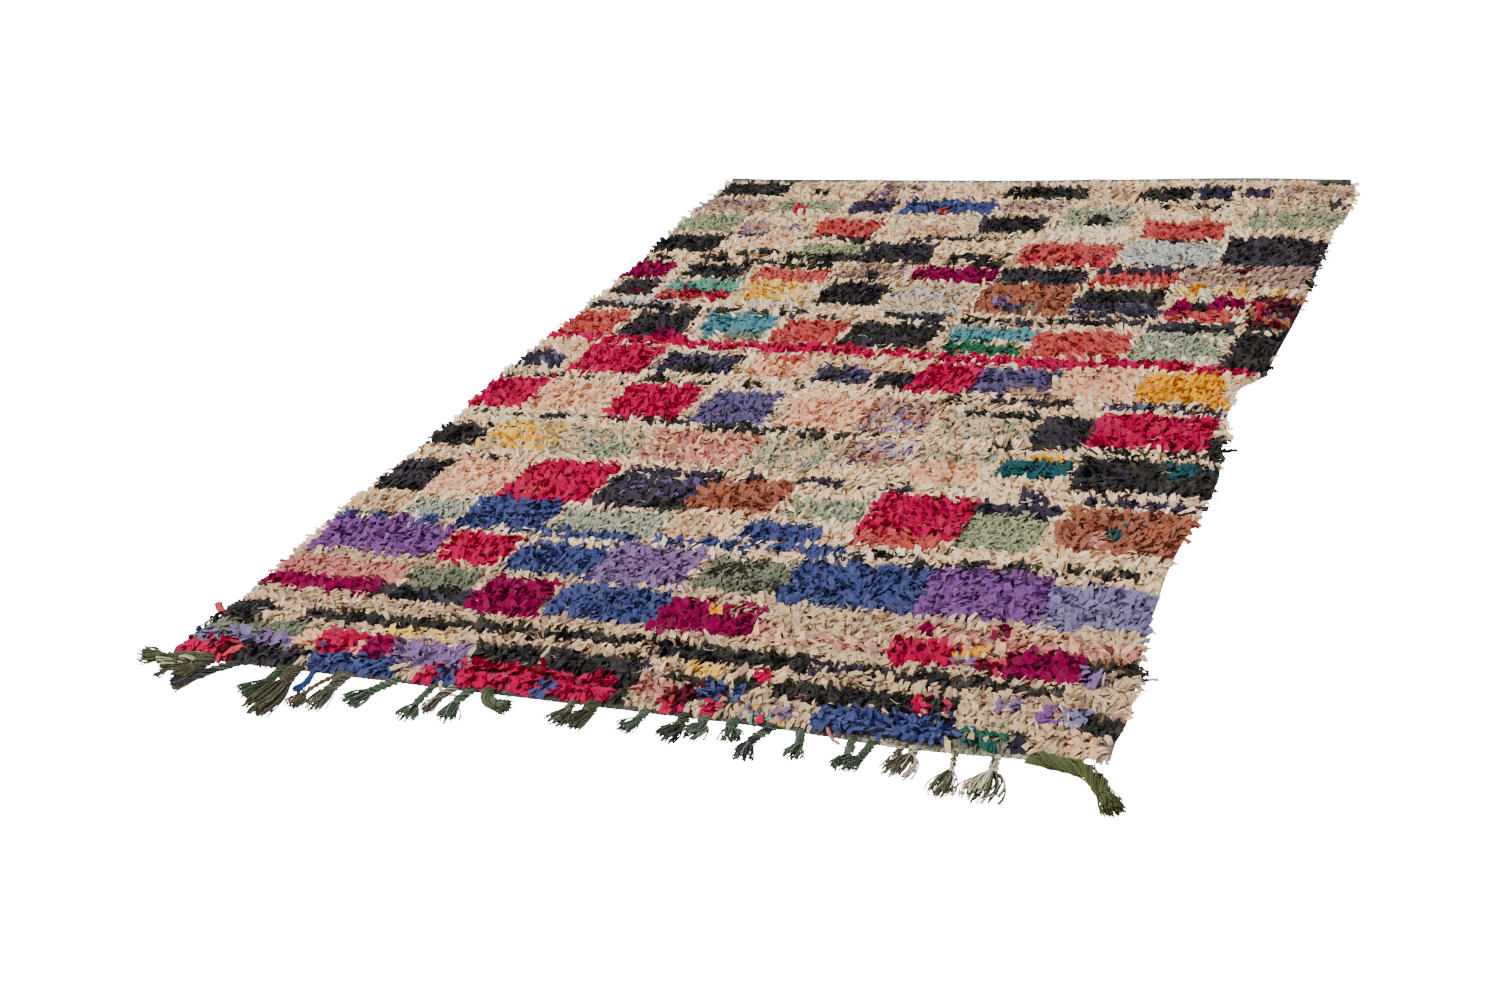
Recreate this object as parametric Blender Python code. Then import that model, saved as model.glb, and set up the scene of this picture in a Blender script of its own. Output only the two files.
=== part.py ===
"""Boucherouite rug, a rag-pile rug that lies flat, with wool tassels along one short end.

Metres, +Z up. X runs across the rug and +Y from the tasselled end to the far end.
Everything rests on z = 0, and the origin is the middle of the underside.
The weave's own coordinates start at the middle of the tasselled end's hem line, and
place() moves them to the part's origin.
"""

import math
import random
from collections import namedtuple

import bmesh
import bpy
from mathutils import Vector, noise

# Driving sizes of the whole rug
WIDTH = 1.475
LENGTH = 2.18
SIDE_REACH = 0.800
FRINGE_REACH = 0.135
FAR_REACH = 2.190
GAP = 0.0005

# Pile, a lumpy slab on its ground cloth
CELL = 0.042
PILE_TOP = 0.0195
LUMP = 0.0085
LUMP_SPAN = 0.085
LUMP_LAYER = 0.3
ROW_LUMP = 0.0015
COURSE = 0.165
GROUND = 0.004
FAR_LIP = 0.012
SIDE_INSET = 0.003
RIM_DROOP = 0.8

# Locks that stand out of the rim
LOCK_SHORT = 0.006
LOCK_LONG = 0.019
LOCK_FAR = 0.006
LOCK_SWING = 0.006
LOCK_FLOOR = 0.0012
LOCK_CREST = PILE_TOP * 0.6
HIGH_LOCK_CREST = PILE_TOP * 0.8
LOCK_LIFT = 0.0015

# Flat-woven hem at the tasselled end
HEM_DEPTH = 0.018
HEM_THICK = 0.005
HEM_HALF = 0.722
HEM_BULGE = 0.010
HEM_BULGE_AT = 0.49
HEM_BULGE_SPAN = 0.13
HEM_STEP = 0.045
PILE_OVER_HEM = 0.0075
STATION_CLEARANCE = 0.004

# Tassels, with shares of each one's own length, width or height
STRAND_TIP = 0.0018
STRAND_THICK = 0.0035
STRAND_STEPS = 3
STRAND_SLIMMING = 0.35
STRAND_BEND = 0.0025
STRAND_LENGTHS = (0.80, 0.96)
DOME = 0.75
NECK_SHARE = 0.45
HEAD_SHARE = 0.80
HEAD_FALL = 0.7

# Where each side of the pile swings in or out of a straight line
Sway = namedtuple("Sway", "along out")
RIGHT_SIDE = (
    Sway(0.00, -0.012), Sway(0.10, 0.001), Sway(0.35, -0.008), Sway(0.50, -0.016),
    Sway(0.78, -0.003), Sway(0.90, -0.022), Sway(1.06, -0.041), Sway(1.12, -0.041),
    Sway(1.19, -0.004), Sway(1.50, 0.004), Sway(1.90, 0.000), Sway(1.98, 0.013),
    Sway(2.05, 0.011), Sway(2.19, -0.010),
)
LEFT_SIDE = (
    Sway(0.00, -0.006), Sway(0.05, 0.003), Sway(0.20, -0.006), Sway(0.50, 0.002),
    Sway(0.80, -0.005), Sway(1.06, 0.007), Sway(1.30, -0.005), Sway(1.50, -0.007),
    Sway(1.86, 0.006), Sway(2.19, -0.002),
)
FAR_SIDE = (
    Sway(-0.75, 0.010), Sway(-0.60, 0.000), Sway(0.00, -0.008), Sway(0.20, -0.002),
    Sway(0.50, 0.007), Sway(0.75, -0.004),
)

# Rag ends that lie farther out than the locks beside them
LooseEnd = namedtuple("LooseEnd", "side along reach swing")
LOOSE_ENDS = (
    LooseEnd("right", 0.21, 0.044, 0.004),
    LooseEnd("right", 0.10, 0.030, 0.008),
    LooseEnd("left", 0.12, 0.026, 0.010),
    LooseEnd("left", 0.78, 0.030, -0.004),
)

# Tassels by the place of the root on the hem and of the tip on the floor.
# neck and head are widths, knot is the head's height, and grip is how far along
# the tassel its strands part.
Tassel = namedtuple("Tassel", "root tip_x tip_y neck head knot grip strands fan")
TASSELS = (
    Tassel(-0.7020, -0.8000, -0.022, 0.012, 0.018, 0.009, 0.55, 4, 0.026),
    Tassel(-0.6725, -0.6925, -0.070, 0.012, 0.016, 0.008, 0.40, 4, 0.018),
    Tassel(-0.6125, -0.6640, -0.080, 0.009, 0.012, 0.007, 0.55, 3, 0.014),
    Tassel(-0.5325, -0.5485, -0.092, 0.009, 0.012, 0.007, 0.50, 3, 0.016),
    Tassel(-0.5095, -0.4975, -0.135, 0.016, 0.020, 0.010, 0.40, 5, 0.024),
    Tassel(-0.4790, -0.4720, -0.060, 0.007, 0.008, 0.005, 0.50, 2, 0.009),
    Tassel(-0.4325, -0.4525, -0.100, 0.007, 0.012, 0.010, 0.60, 3, 0.016),
    Tassel(-0.4125, -0.4125, -0.100, 0.009, 0.012, 0.008, 0.45, 3, 0.018),
    Tassel(-0.3225, -0.3625, -0.080, 0.010, 0.014, 0.008, 0.45, 4, 0.026),
    Tassel(-0.2575, -0.2525, -0.095, 0.010, 0.013, 0.008, 0.50, 3, 0.018),
    Tassel(-0.2225, -0.2305, -0.070, 0.007, 0.009, 0.006, 0.50, 2, 0.010),
    Tassel(-0.1925, -0.1875, -0.086, 0.009, 0.012, 0.007, 0.50, 3, 0.016),
    Tassel(-0.1630, -0.1375, -0.050, 0.012, 0.013, 0.008, 0.60, 3, 0.022),
    Tassel(-0.0225, -0.0245, -0.060, 0.010, 0.013, 0.008, 0.40, 4, 0.022),
    Tassel(0.0125, 0.0055, -0.060, 0.013, 0.014, 0.008, 0.45, 3, 0.016),
    Tassel(0.0975, 0.0855, -0.056, 0.009, 0.012, 0.007, 0.45, 3, 0.016),
    Tassel(0.1615, 0.1515, -0.065, 0.011, 0.014, 0.008, 0.45, 3, 0.016),
    Tassel(0.1885, 0.1865, -0.053, 0.008, 0.010, 0.007, 0.45, 2, 0.010),
    Tassel(0.2325, 0.2505, -0.045, 0.011, 0.014, 0.008, 0.50, 3, 0.018),
    Tassel(0.2975, 0.2835, -0.086, 0.009, 0.012, 0.007, 0.50, 3, 0.016),
    Tassel(0.3325, 0.3465, -0.068, 0.010, 0.013, 0.008, 0.50, 3, 0.018),
    Tassel(0.4245, 0.4205, -0.080, 0.014, 0.014, 0.008, 0.60, 3, 0.018),
    Tassel(0.4975, 0.4985, -0.080, 0.013, 0.020, 0.010, 0.35, 5, 0.036),
    Tassel(0.5585, 0.5675, -0.110, 0.006, 0.014, 0.009, 0.45, 4, 0.026),
    Tassel(0.6155, 0.6215, -0.110, 0.012, 0.022, 0.012, 0.40, 5, 0.038),
)

# The corner bundle turns along the hem before it runs out past the corner
CORNER_ROOT = 0.660
CORNER_NECK = 0.016
CORNER_HEAD = 0.018
CORNER_KNOT = 0.013
CORNER_STRANDS = 4
CORNER_FAN = 0.024
CORNER_TIP = (SIDE_REACH - 0.003, -0.099)
CORNER_KNOT_SHARE = 0.35
Bend = namedtuple("Bend", "x y width height")
CORNER_BENDS = (
    Bend(0.668, -0.013, 0.017, 0.010),
    Bend(0.690, -0.017, 0.017, 0.013),
    Bend(0.722, -0.019, 0.018, 0.014),
    Bend(0.748, -0.028, 0.018, 0.013),
    Bend(0.764, -0.048, 0.016, 0.011),
)

PILE_COLOUR = (0.61, 0.48, 0.35)
WOOL_COLOUR = (0.10, 0.12, 0.07)
CLOTH_ROUGHNESS = 0.95
SMOOTH_BELOW = math.radians(40)

MID_LENGTH = (FAR_REACH - FRINGE_REACH) / 2


def place(x, y, z):
    """A point of the weave's coordinates, moved to the part's origin."""
    return Vector((x, y - MID_LENGTH, z))


def clear_scene():
    for item in list(bpy.data.objects):
        bpy.data.objects.remove(item, do_unlink=True)


def cloth_material(name, colour):
    material = bpy.data.materials.new(name)
    material.use_nodes = True
    shader = material.node_tree.nodes["Principled BSDF"]
    shader.inputs["Base Color"].default_value = (*colour, 1.0)
    shader.inputs["Roughness"].default_value = CLOTH_ROUGHNESS
    shader.inputs["Metallic"].default_value = 0.0
    return material


def add_solid(name, mesh_builder, colour):
    """Make one named object out of a closed bmesh."""
    bmesh.ops.recalc_face_normals(mesh_builder, faces=mesh_builder.faces)
    bmesh.ops.triangulate(mesh_builder, faces=mesh_builder.faces)
    mesh = bpy.data.meshes.new(name)
    mesh_builder.to_mesh(mesh)
    mesh_builder.free()
    mesh.materials.append(cloth_material(name + "_cloth", colour))
    mesh.shade_smooth()
    mesh.set_sharp_from_angle(angle=SMOOTH_BELOW)
    solid = bpy.data.objects.new(name, mesh)
    bpy.context.scene.collection.objects.link(solid)
    return solid


def sway_at(stations, along):
    """The outward swing between two stations, eased so that the edge has no corners."""
    if along <= stations[0].along:
        return stations[0].out
    for before, after in zip(stations, stations[1:]):
        if along <= after.along:
            share = (along - before.along) / (after.along - before.along)
            eased = share * share * (3 - 2 * share)
            return before.out + (after.out - before.out) * eased
    return stations[-1].out


def hem_line(x):
    """How far the near hem's outer edge bulges away from the rug at x."""
    return -HEM_BULGE * math.exp(-(((x - HEM_BULGE_AT) / HEM_BULGE_SPAN) ** 2))


def cloth_point(across, along):
    """The ground cloth's point at two shares of the rug, 0 to 1 from left to right and
    from the tasselled end to the far end."""
    level = HEM_DEPTH + (LENGTH - HEM_DEPTH) * along
    left = -WIDTH / 2 - sway_at(LEFT_SIDE, level)
    right = WIDTH / 2 + sway_at(RIGHT_SIDE, level)
    x = left + (right - left) * across
    near = hem_line(x) + HEM_DEPTH + GAP
    far = LENGTH + sway_at(FAR_SIDE, x)
    return x, near + (far - near) * along


def pile_height(x, y):
    """Lumps of leaning rags on low swells, one to each course of blocks."""
    lump = noise.noise(Vector((x, y, LUMP_LAYER)) / LUMP_SPAN)
    swell = math.cos(2 * math.pi * y / COURSE)
    return PILE_TOP + LUMP * lump + ROW_LUMP * swell


def rim_side(a, b, rows):
    """The outward direction of a rim point, and the name of its side."""
    if b == 0:
        return Vector((0, -1)), "near"
    if b == rows:
        return Vector((0, 1)), "far"
    if a == 0:
        return Vector((-1, 0)), "left"
    return Vector((1, 0)), "right"


def rim_keys(columns, rows):
    """The rim's half-cell places, once round, anticlockwise from above."""
    near = [(a, 0) for a in range(columns)]
    right = [(columns, b) for b in range(rows)]
    far = [(a, rows) for a in range(columns, 0, -1)]
    left = [(0, b) for b in range(rows, 0, -1)]
    return near + right + far + left


def lock_tip(start, end, side, random_source):
    """Where a lock's tip lies, out of the middle of its stretch of wall."""
    middle = (start + end) / 2
    swing = random_source.uniform(-LOCK_SWING, LOCK_SWING)
    reach = random_source.uniform(LOCK_SHORT, LOCK_LONG)
    height = random_source.uniform(LOCK_FLOOR, LOCK_CREST)
    if side == "near":
        reach = random_source.uniform(LOCK_SHORT, HEM_DEPTH - LOCK_LIFT)
        height = random_source.uniform(PILE_OVER_HEM + LOCK_LIFT, HIGH_LOCK_CREST)
        return middle + Vector((swing, -reach, height))
    if side == "far":
        reach = LOCK_FAR * random_source.random()
        height = random_source.uniform(GROUND + LOCK_LIFT, HIGH_LOCK_CREST)
        return middle + Vector((swing, reach, height))
    for end_of_rag in LOOSE_ENDS:
        near_it = abs(middle.y + MID_LENGTH - end_of_rag.along) < CELL / 4
        if end_of_rag.side == side and near_it:
            reach = end_of_rag.reach
            swing = end_of_rag.swing
            height = LOCK_FLOOR
    outward = 1 if side == "right" else -1
    return middle + Vector((outward * reach, swing, height))


def rag_pile_rug():
    """The pile on its ground cloth: a lumpy top, locks round the rim, a flat underside."""
    random_source = random.Random(11)
    work = bmesh.new()
    columns = 2 * round(WIDTH / CELL)
    rows = 2 * round((LENGTH - HEM_DEPTH) / CELL)
    rim = rim_keys(columns, rows)
    on_rim = set(rim)
    top = {}
    wanted = [(a, b) for a in range(0, columns + 1, 2) for b in range(0, rows + 1, 2)]
    for key in dict.fromkeys(wanted + rim):
        x, y = cloth_point(key[0] / columns, key[1] / rows)
        height = pile_height(x, y)
        if key in on_rim:
            outward, side = rim_side(*key, rows)
            inset = {"far": FAR_LIP, "near": 0.0}.get(side, SIDE_INSET)
            x -= outward.x * inset
            y -= outward.y * inset
            height *= RIM_DROOP
        top[key] = work.verts.new(place(x, y, height))
    corner_walk = ((0, 0), (1, 0), (2, 0), (2, 1), (2, 2), (1, 2), (0, 2), (0, 1))
    for a in range(0, columns, 2):
        for b in range(0, rows, 2):
            ring = [top.get((a + i, b + j)) for i, j in corner_walk]
            work.faces.new([corner for corner in ring if corner])
    shoulder, foot = {}, {}
    for key in rim:
        x, y = cloth_point(key[0] / columns, key[1] / rows)
        step = PILE_OVER_HEM if key[1] == 0 else GROUND
        shoulder[key] = work.verts.new(place(x, y, step))
        foot[key] = work.verts.new(place(x, y, 0.0))
    for key, after in zip(rim, rim[1:] + rim[:1]):
        middle = ((key[0] + after[0]) / 2, (key[1] + after[1]) / 2)
        side = rim_side(*middle, rows)[1]
        base = (shoulder[key].co.xy.to_3d(), shoulder[after].co.xy.to_3d())
        tip = work.verts.new(lock_tip(*base, side, random_source))
        wall = (top[after], top[key], shoulder[key], shoulder[after])
        for one, other in zip(wall, wall[1:] + wall[:1]):
            work.faces.new((one, other, tip))
        work.faces.new((shoulder[after], shoulder[key], foot[key], foot[after]))
    for b in range(rows):
        lower = [(0, b), (columns, b)]
        upper = [(columns, b + 1), (0, b + 1)]
        if b == 0:
            lower = [(a, 0) for a in range(columns + 1)]
        if b == rows - 1:
            upper = [(a, rows) for a in range(columns, -1, -1)]
        work.faces.new([foot[key] for key in reversed(lower + upper)])
    return add_solid("rag_pile_rug", work, PILE_COLOUR)


def columns_of(root, neck, strands):
    """The places on the hem where a tassel's strands and the gaps between them end."""
    count = 2 * strands
    return [root - neck / 2 + neck * i / (count - 1) for i in range(count)]


def cross_ring(work, centre, ahead, width, height, count):
    """One ring of a tassel: a flat row on the floor and a domed row above it."""
    sideways = Vector((-ahead.y, ahead.x))
    lower, upper = [], []
    for i in range(count):
        share = i / (count - 1) - 0.5
        at = centre + sideways * (width * share)
        dome = height * math.sqrt(1 - DOME * (2 * share) ** 2)
        lower.append(work.verts.new(place(at.x, at.y, 0.0)))
        upper.append(work.verts.new(place(at.x, at.y, dome)))
    return lower, upper


def join_rings(work, before, after):
    """Skin between two rings, along the floor, over the top and at both flanks."""
    last = len(before[0]) - 1
    for i in range(last):
        work.faces.new((before[0][i], before[0][i + 1], after[0][i + 1], after[0][i]))
        work.faces.new((before[1][i + 1], before[1][i], after[1][i], after[1][i + 1]))
    work.faces.new((before[1][0], before[0][0], after[0][0], after[1][0]))
    work.faces.new((before[0][last], before[1][last], after[1][last], after[0][last]))


def strand(work, root, start, tip, bend):
    """A strand of four sides that runs from its root in the head to a blunt tip."""
    low_left, low_right, high_right, high_left = root
    before = root
    heading = (tip - start).normalized()
    sideways = Vector((-heading.y, heading.x))
    half = (low_right.co - low_left.co).length / 2
    for step in range(1, STRAND_STEPS + 1):
        share = step / STRAND_STEPS
        at = start.lerp(tip, share) + sideways * (bend * math.sin(math.pi * share))
        slim = half * (1 - STRAND_SLIMMING * share)
        tall = STRAND_THICK + (STRAND_TIP - STRAND_THICK) * share
        after = [
            work.verts.new(place(*(at + sideways * (slim * flank)), height))
            for flank, height in ((-1, 0.0), (1, 0.0), (1, tall), (-1, tall))
        ]
        for i in range(4):
            j = (i + 1) % 4
            work.faces.new((before[i], before[j], after[j], after[i]))
        before = after
    work.faces.new(before)


def brush(work, head, centre, tip, fan, random_source):
    """The head's end face and the strands that part there."""
    lower, upper = head
    count = len(lower)
    strands = count // 2
    heading = (tip - centre).normalized()
    sideways = Vector((-heading.y, heading.x))
    bend = random_source.uniform(-STRAND_BEND, STRAND_BEND)
    for i in range(count - 1):
        corners = (lower[i], lower[i + 1], upper[i + 1], upper[i])
        if i % 2:
            work.faces.new(corners)
            continue
        number = i // 2
        share = number / (strands - 1) - 0.5
        longest = number == strands // 2
        reach = 1.0 if longest else random_source.uniform(*STRAND_LENGTHS)
        shift = share * fan if not longest or strands < 3 else 0.0
        end = centre.lerp(tip, reach) + sideways * shift
        begin = (lower[i].co.xy + lower[i + 1].co.xy) / 2 + Vector((0, MID_LENGTH))
        strand(work, corners, begin, end, bend)


def straight_tassel(work, root_ring, row, random_source):
    """Neck, head and strands on a straight line from the hem."""
    root = Vector((row.root, hem_line(row.root)))
    tip = Vector((row.tip_x, row.tip_y))
    count = len(root_ring[0])
    ahead = (tip - root).normalized()
    turned = Vector((0, -1)).slerp(ahead, 0.5)
    neck_at = root + (tip - root) * (row.grip * NECK_SHARE)
    head_at = root + (tip - root) * (row.grip * HEAD_SHARE)
    part_at = root + (tip - root) * row.grip
    before = root_ring
    for at, facing, width, height in (
        (neck_at, turned, row.neck, HEM_THICK),
        (head_at, ahead, row.head, row.knot),
        (part_at, ahead, row.head, row.knot * HEAD_FALL),
    ):
        after = cross_ring(work, at, facing, width, height, count)
        join_rings(work, before, after)
        before = after
    brush(work, before, part_at, tip, row.fan, random_source)


def corner_bundle(work, root_ring, random_source):
    """The thick bundle that lies along the hem and out past the corner."""
    count = len(root_ring[0])
    tip = Vector(CORNER_TIP)
    points = [Vector((CORNER_ROOT, hem_line(CORNER_ROOT)))]
    points += [Vector((bend.x, bend.y)) for bend in CORNER_BENDS]
    before = root_ring
    for number, bend in enumerate(CORNER_BENDS, start=1):
        following = points[number + 1] if number + 1 < len(points) else tip
        ahead = (following - points[number - 1]).normalized()
        after = cross_ring(work, points[number], ahead, bend.width, bend.height, count)
        join_rings(work, before, after)
        before = after
    head_at = points[-1].lerp(tip, CORNER_KNOT_SHARE)
    ahead = (tip - points[-1]).normalized()
    after = cross_ring(work, head_at, ahead, CORNER_HEAD, CORNER_KNOT, count)
    join_rings(work, before, after)
    brush(work, after, head_at, tip, CORNER_FAN, random_source)


def hem_stations(rows):
    """Places along the hem: an even step, and each tassel's own columns instead of it."""
    taken = []
    for root, neck, strands in rows:
        taken.append(columns_of(root, neck, strands))
    steps = round(2 * HEM_HALF / HEM_STEP)
    even = [-HEM_HALF + 2 * HEM_HALF * i / steps for i in range(steps + 1)]
    kept = [
        x for x in even
        if all(
            x < span[0] - STATION_CLEARANCE or x > span[-1] + STATION_CLEARANCE
            for span in taken
        )
    ]
    return sorted(kept + [x for span in taken for x in span]), taken


def near_hem_fringe():
    """The flat-woven hem of the tasselled end, with every tassel fused to its edge."""
    random_source = random.Random(23)
    work = bmesh.new()
    rows = [(row.root, row.neck, row.strands) for row in TASSELS]
    rows.append((CORNER_ROOT, CORNER_NECK, CORNER_STRANDS))
    stations, taken = hem_stations(rows)
    section = {}
    for x in stations:
        front = hem_line(x)
        back = front + HEM_DEPTH
        section[x] = (
            work.verts.new(place(x, front, 0.0)),
            work.verts.new(place(x, front, HEM_THICK)),
            work.verts.new(place(x, back, HEM_THICK)),
            work.verts.new(place(x, back, 0.0)),
        )
    rooted = {(a, b) for span in taken for a, b in zip(span, span[1:])}
    for x, after in zip(stations, stations[1:]):
        for i in range(4):
            j = (i + 1) % 4
            if i == 0 and (x, after) in rooted:
                continue
            here, there = section[x], section[after]
            work.faces.new((here[i], here[j], there[j], there[i]))
    work.faces.new(section[stations[0]])
    work.faces.new(reversed(section[stations[-1]]))
    rings = [
        ([section[x][0] for x in span], [section[x][1] for x in span])
        for span in taken
    ]
    for row, ring in zip(TASSELS, rings):
        straight_tassel(work, ring, row, random_source)
    corner_bundle(work, rings[-1], random_source)
    return add_solid("near_hem_fringe", work, WOOL_COLOUR)


clear_scene()
rag_pile_rug()
near_hem_fringe()
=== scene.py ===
"""Boucherouite rug: a rag pile of many colours on a woven ground, with wool tassels along one short end."""
import math
from collections import namedtuple

import bpy
import numpy as np
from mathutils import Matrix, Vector, noise


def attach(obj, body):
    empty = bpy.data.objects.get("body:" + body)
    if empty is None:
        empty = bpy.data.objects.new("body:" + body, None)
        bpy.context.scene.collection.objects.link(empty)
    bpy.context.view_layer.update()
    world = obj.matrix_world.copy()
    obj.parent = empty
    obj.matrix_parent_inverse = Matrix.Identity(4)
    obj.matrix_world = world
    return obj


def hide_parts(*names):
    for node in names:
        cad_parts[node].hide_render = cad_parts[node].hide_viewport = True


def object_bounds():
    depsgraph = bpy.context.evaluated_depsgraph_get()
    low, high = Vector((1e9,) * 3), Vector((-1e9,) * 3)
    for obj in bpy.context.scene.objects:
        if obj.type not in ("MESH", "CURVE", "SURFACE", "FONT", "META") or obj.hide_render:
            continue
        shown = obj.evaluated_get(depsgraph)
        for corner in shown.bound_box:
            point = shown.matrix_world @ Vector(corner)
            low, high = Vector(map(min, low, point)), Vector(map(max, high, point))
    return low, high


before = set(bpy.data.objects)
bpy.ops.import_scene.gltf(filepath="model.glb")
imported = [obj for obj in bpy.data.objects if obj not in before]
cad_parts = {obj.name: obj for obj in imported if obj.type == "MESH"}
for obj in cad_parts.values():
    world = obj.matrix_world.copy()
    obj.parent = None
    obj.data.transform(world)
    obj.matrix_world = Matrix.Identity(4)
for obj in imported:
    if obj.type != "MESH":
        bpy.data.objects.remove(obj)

bl_info = {
    "name": "Boucherouite Rug",
    "version": (1, 0, 0),
    "blender": (4, 5, 0),
    "location": "View3D > Sidebar > Rug",
    "description": "Builds a rag-pile rug with its tassels, floor, lights and camera",
    "category": "Add Mesh",
}

CAD_LOW, CAD_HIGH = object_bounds()
BODY = "root"
PILE_NODE = "rag_pile_rug"
FRINGE_NODE = "near_hem_fringe"
CM = 0.01

# The weave's own coordinates start at the middle of the near hem line
FRINGE_REACH = 0.135
WEAVE_Y = CAD_LOW.y + FRINGE_REACH
# The chart's own middle lies this far to the left of the weave's
CHART_SHIFT = 0.0125
# The cloth in the photograph, without the spread of its corners
CLOTH_WIDTH, CLOTH_LENGTH = 1.475, 2.162

# Reading the CAD outline: how high its underside reaches, how near to a corner a side
# counts, and for each end how deep it is and how near to a corner it counts
UNDERSIDE = 0.0005
CORNER_CLEAR = 0.03
NEAR_BAND, NEAR_CLEAR = 0.03, 0.01
FAR_BAND, FAR_CLEAR = 0.04, 0.02

# Smooth waves over the rug: the span of one wave in metres and its own layer of noise.
# They move the blocks' borders, break blocks up in clumps and pick rags from a mixture,
# and they give the tufts their lengths and the way that they point.
BORDER_WAVE = (0.03, 11.0)
CLUMP_WAVE = (0.035, 12.0)
MIX_WAVE = (0.06, 13.0)
LENGTH_WAVE = (0.12, 4.0)
SIDE_WAVE = (0.07, 1.0)
DRIFT_WAVE = (0.3, 5.0)
ROW_WAVE = (0.07, 2.0)
FIELD_X, FIELD_Y = (-0.85, 0.86), (-0.10, 2.30)

# Rags by name: colour in daylight, and how wide and how curly its strips are cut
Rag = namedtuple("Rag", "colour width curl")
RAGS = {
    "cream": Rag((236, 202, 158), 1.0, 1.0),
    "pale_cream": Rag((244, 222, 190), 1.0, 1.0),
    "oatmeal": Rag((204, 174, 135), 0.9, 1.1),
    "black": Rag((7, 6, 6), 0.9, 1.0),
    "navy_black": Rag((46, 38, 52), 1.0, 1.0),
    "charcoal": Rag((16, 15, 13), 0.72, 1.3),
    "navy": Rag((43, 35, 57), 1.0, 1.0),
    "blue": Rag((63, 71, 119), 1.0, 0.8),
    "slate_violet": Rag((86, 74, 114), 1.15, 0.9),
    "violet": Rag((116, 68, 130), 1.15, 0.9),
    "lilac": Rag((122, 92, 138), 1.1, 1.0),
    "periwinkle": Rag((119, 109, 150), 1.1, 1.0),
    "crimson": Rag((174, 0, 66), 1.2, 0.8),
    "magenta": Rag((129, 0, 65), 1.2, 0.8),
    "maroon": Rag((84, 14, 34), 1.0, 1.0),
    "coral": Rag((183, 74, 70), 1.1, 0.9),
    "rust": Rag((152, 89, 67), 1.1, 0.9),
    "peach": Rag((232, 178, 138), 1.15, 0.9),
    "dusty_pink": Rag((194, 119, 109), 1.0, 1.0),
    "mauve": Rag((161, 126, 110), 1.0, 1.0),
    "pale_sage": Rag((154, 157, 138), 0.7, 1.4),
    "sage": Rag((144, 149, 114), 0.7, 1.4),
    "grey_green": Rag((105, 108, 88), 0.75, 1.3),
    "pale_blue": Rag((186, 184, 176), 0.85, 1.1),
    "turquoise": Rag((76, 127, 139), 1.0, 1.0),
    "teal": Rag((32, 79, 85), 1.0, 1.0),
    "mint": Rag((89, 148, 126), 0.9, 1.1),
    "green": Rag((36, 93, 68), 0.9, 1.1),
    "mustard": Rag((228, 158, 0), 1.1, 0.9),
    "pale_yellow": Rag((232, 190, 92), 1.0, 1.0),
}

# Mixtures of rags, each with its share
MIXES = {
    "ground": (("cream", 0.52), ("pale_cream", 0.25), ("oatmeal", 0.23)),
    "near_ground": (("oatmeal", 0.78), ("mauve", 0.12), ("cream", 0.1)),
    "pine": (("grey_green", 0.5), ("green", 0.3), ("teal", 0.1), ("oatmeal", 0.1)),
    "confetti": (
        ("crimson", 0.15), ("mustard", 0.15), ("mint", 0.2), ("lilac", 0.2), ("oatmeal", 0.3)),
    "claret": (("crimson", 0.4), ("maroon", 0.4), ("coral", 0.2)),
    "dusk": (("periwinkle", 0.5), ("grey_green", 0.3), ("slate_violet", 0.2)),
    "pale_stone": (("pale_blue", 0.6), ("oatmeal", 0.4)),
    "stone": (("oatmeal", 0.45), ("pale_sage", 0.35), ("sage", 0.2)),
    "sage_mix": (("pale_sage", 0.56), ("sage", 0.38), ("pale_cream", 0.06)),
    "sand": (("oatmeal", 0.5), ("peach", 0.5)),
    "earth": (("charcoal", 0.55), ("oatmeal", 0.25), ("navy", 0.2)),
    "pale_peach": (("pale_cream", 0.7), ("peach", 0.3)),
    "mauve_mix": (("mauve", 0.66), ("lilac", 0.07), ("oatmeal", 0.27)),
    "pink_mix": (("dusty_pink", 0.55), ("peach", 0.3), ("mauve", 0.15)),
    "plum": (
        ("mauve", 0.3), ("dusty_pink", 0.17), ("oatmeal", 0.25), ("lilac", 0.14), ("pale_blue", 0.14)),
    "rosewood": (
        ("maroon", 0.17), ("charcoal", 0.6), ("rust", 0.12), ("crimson", 0.05),
        ("slate_violet", 0.06)),
    "slate_navy": (("navy", 0.45), ("slate_violet", 0.15), ("navy_black", 0.4)),
    "ink": (("navy_black", 0.6), ("black", 0.4)),
    "coal": (("black", 0.75), ("navy_black", 0.25)),
    "bottle": (("black", 0.62), ("charcoal", 0.34), ("grey_green", 0.04)),
    "slate": (("grey_green", 0.8), ("charcoal", 0.2)),
    "brick": (("coral", 0.45), ("maroon", 0.37), ("crimson", 0.18)),
    "butter": (("pale_yellow", 0.8), ("cream", 0.2)),
    "straw": (("pale_yellow", 0.3), ("sage", 0.36), ("mustard", 0.1), ("oatmeal", 0.24)),
}

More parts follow.
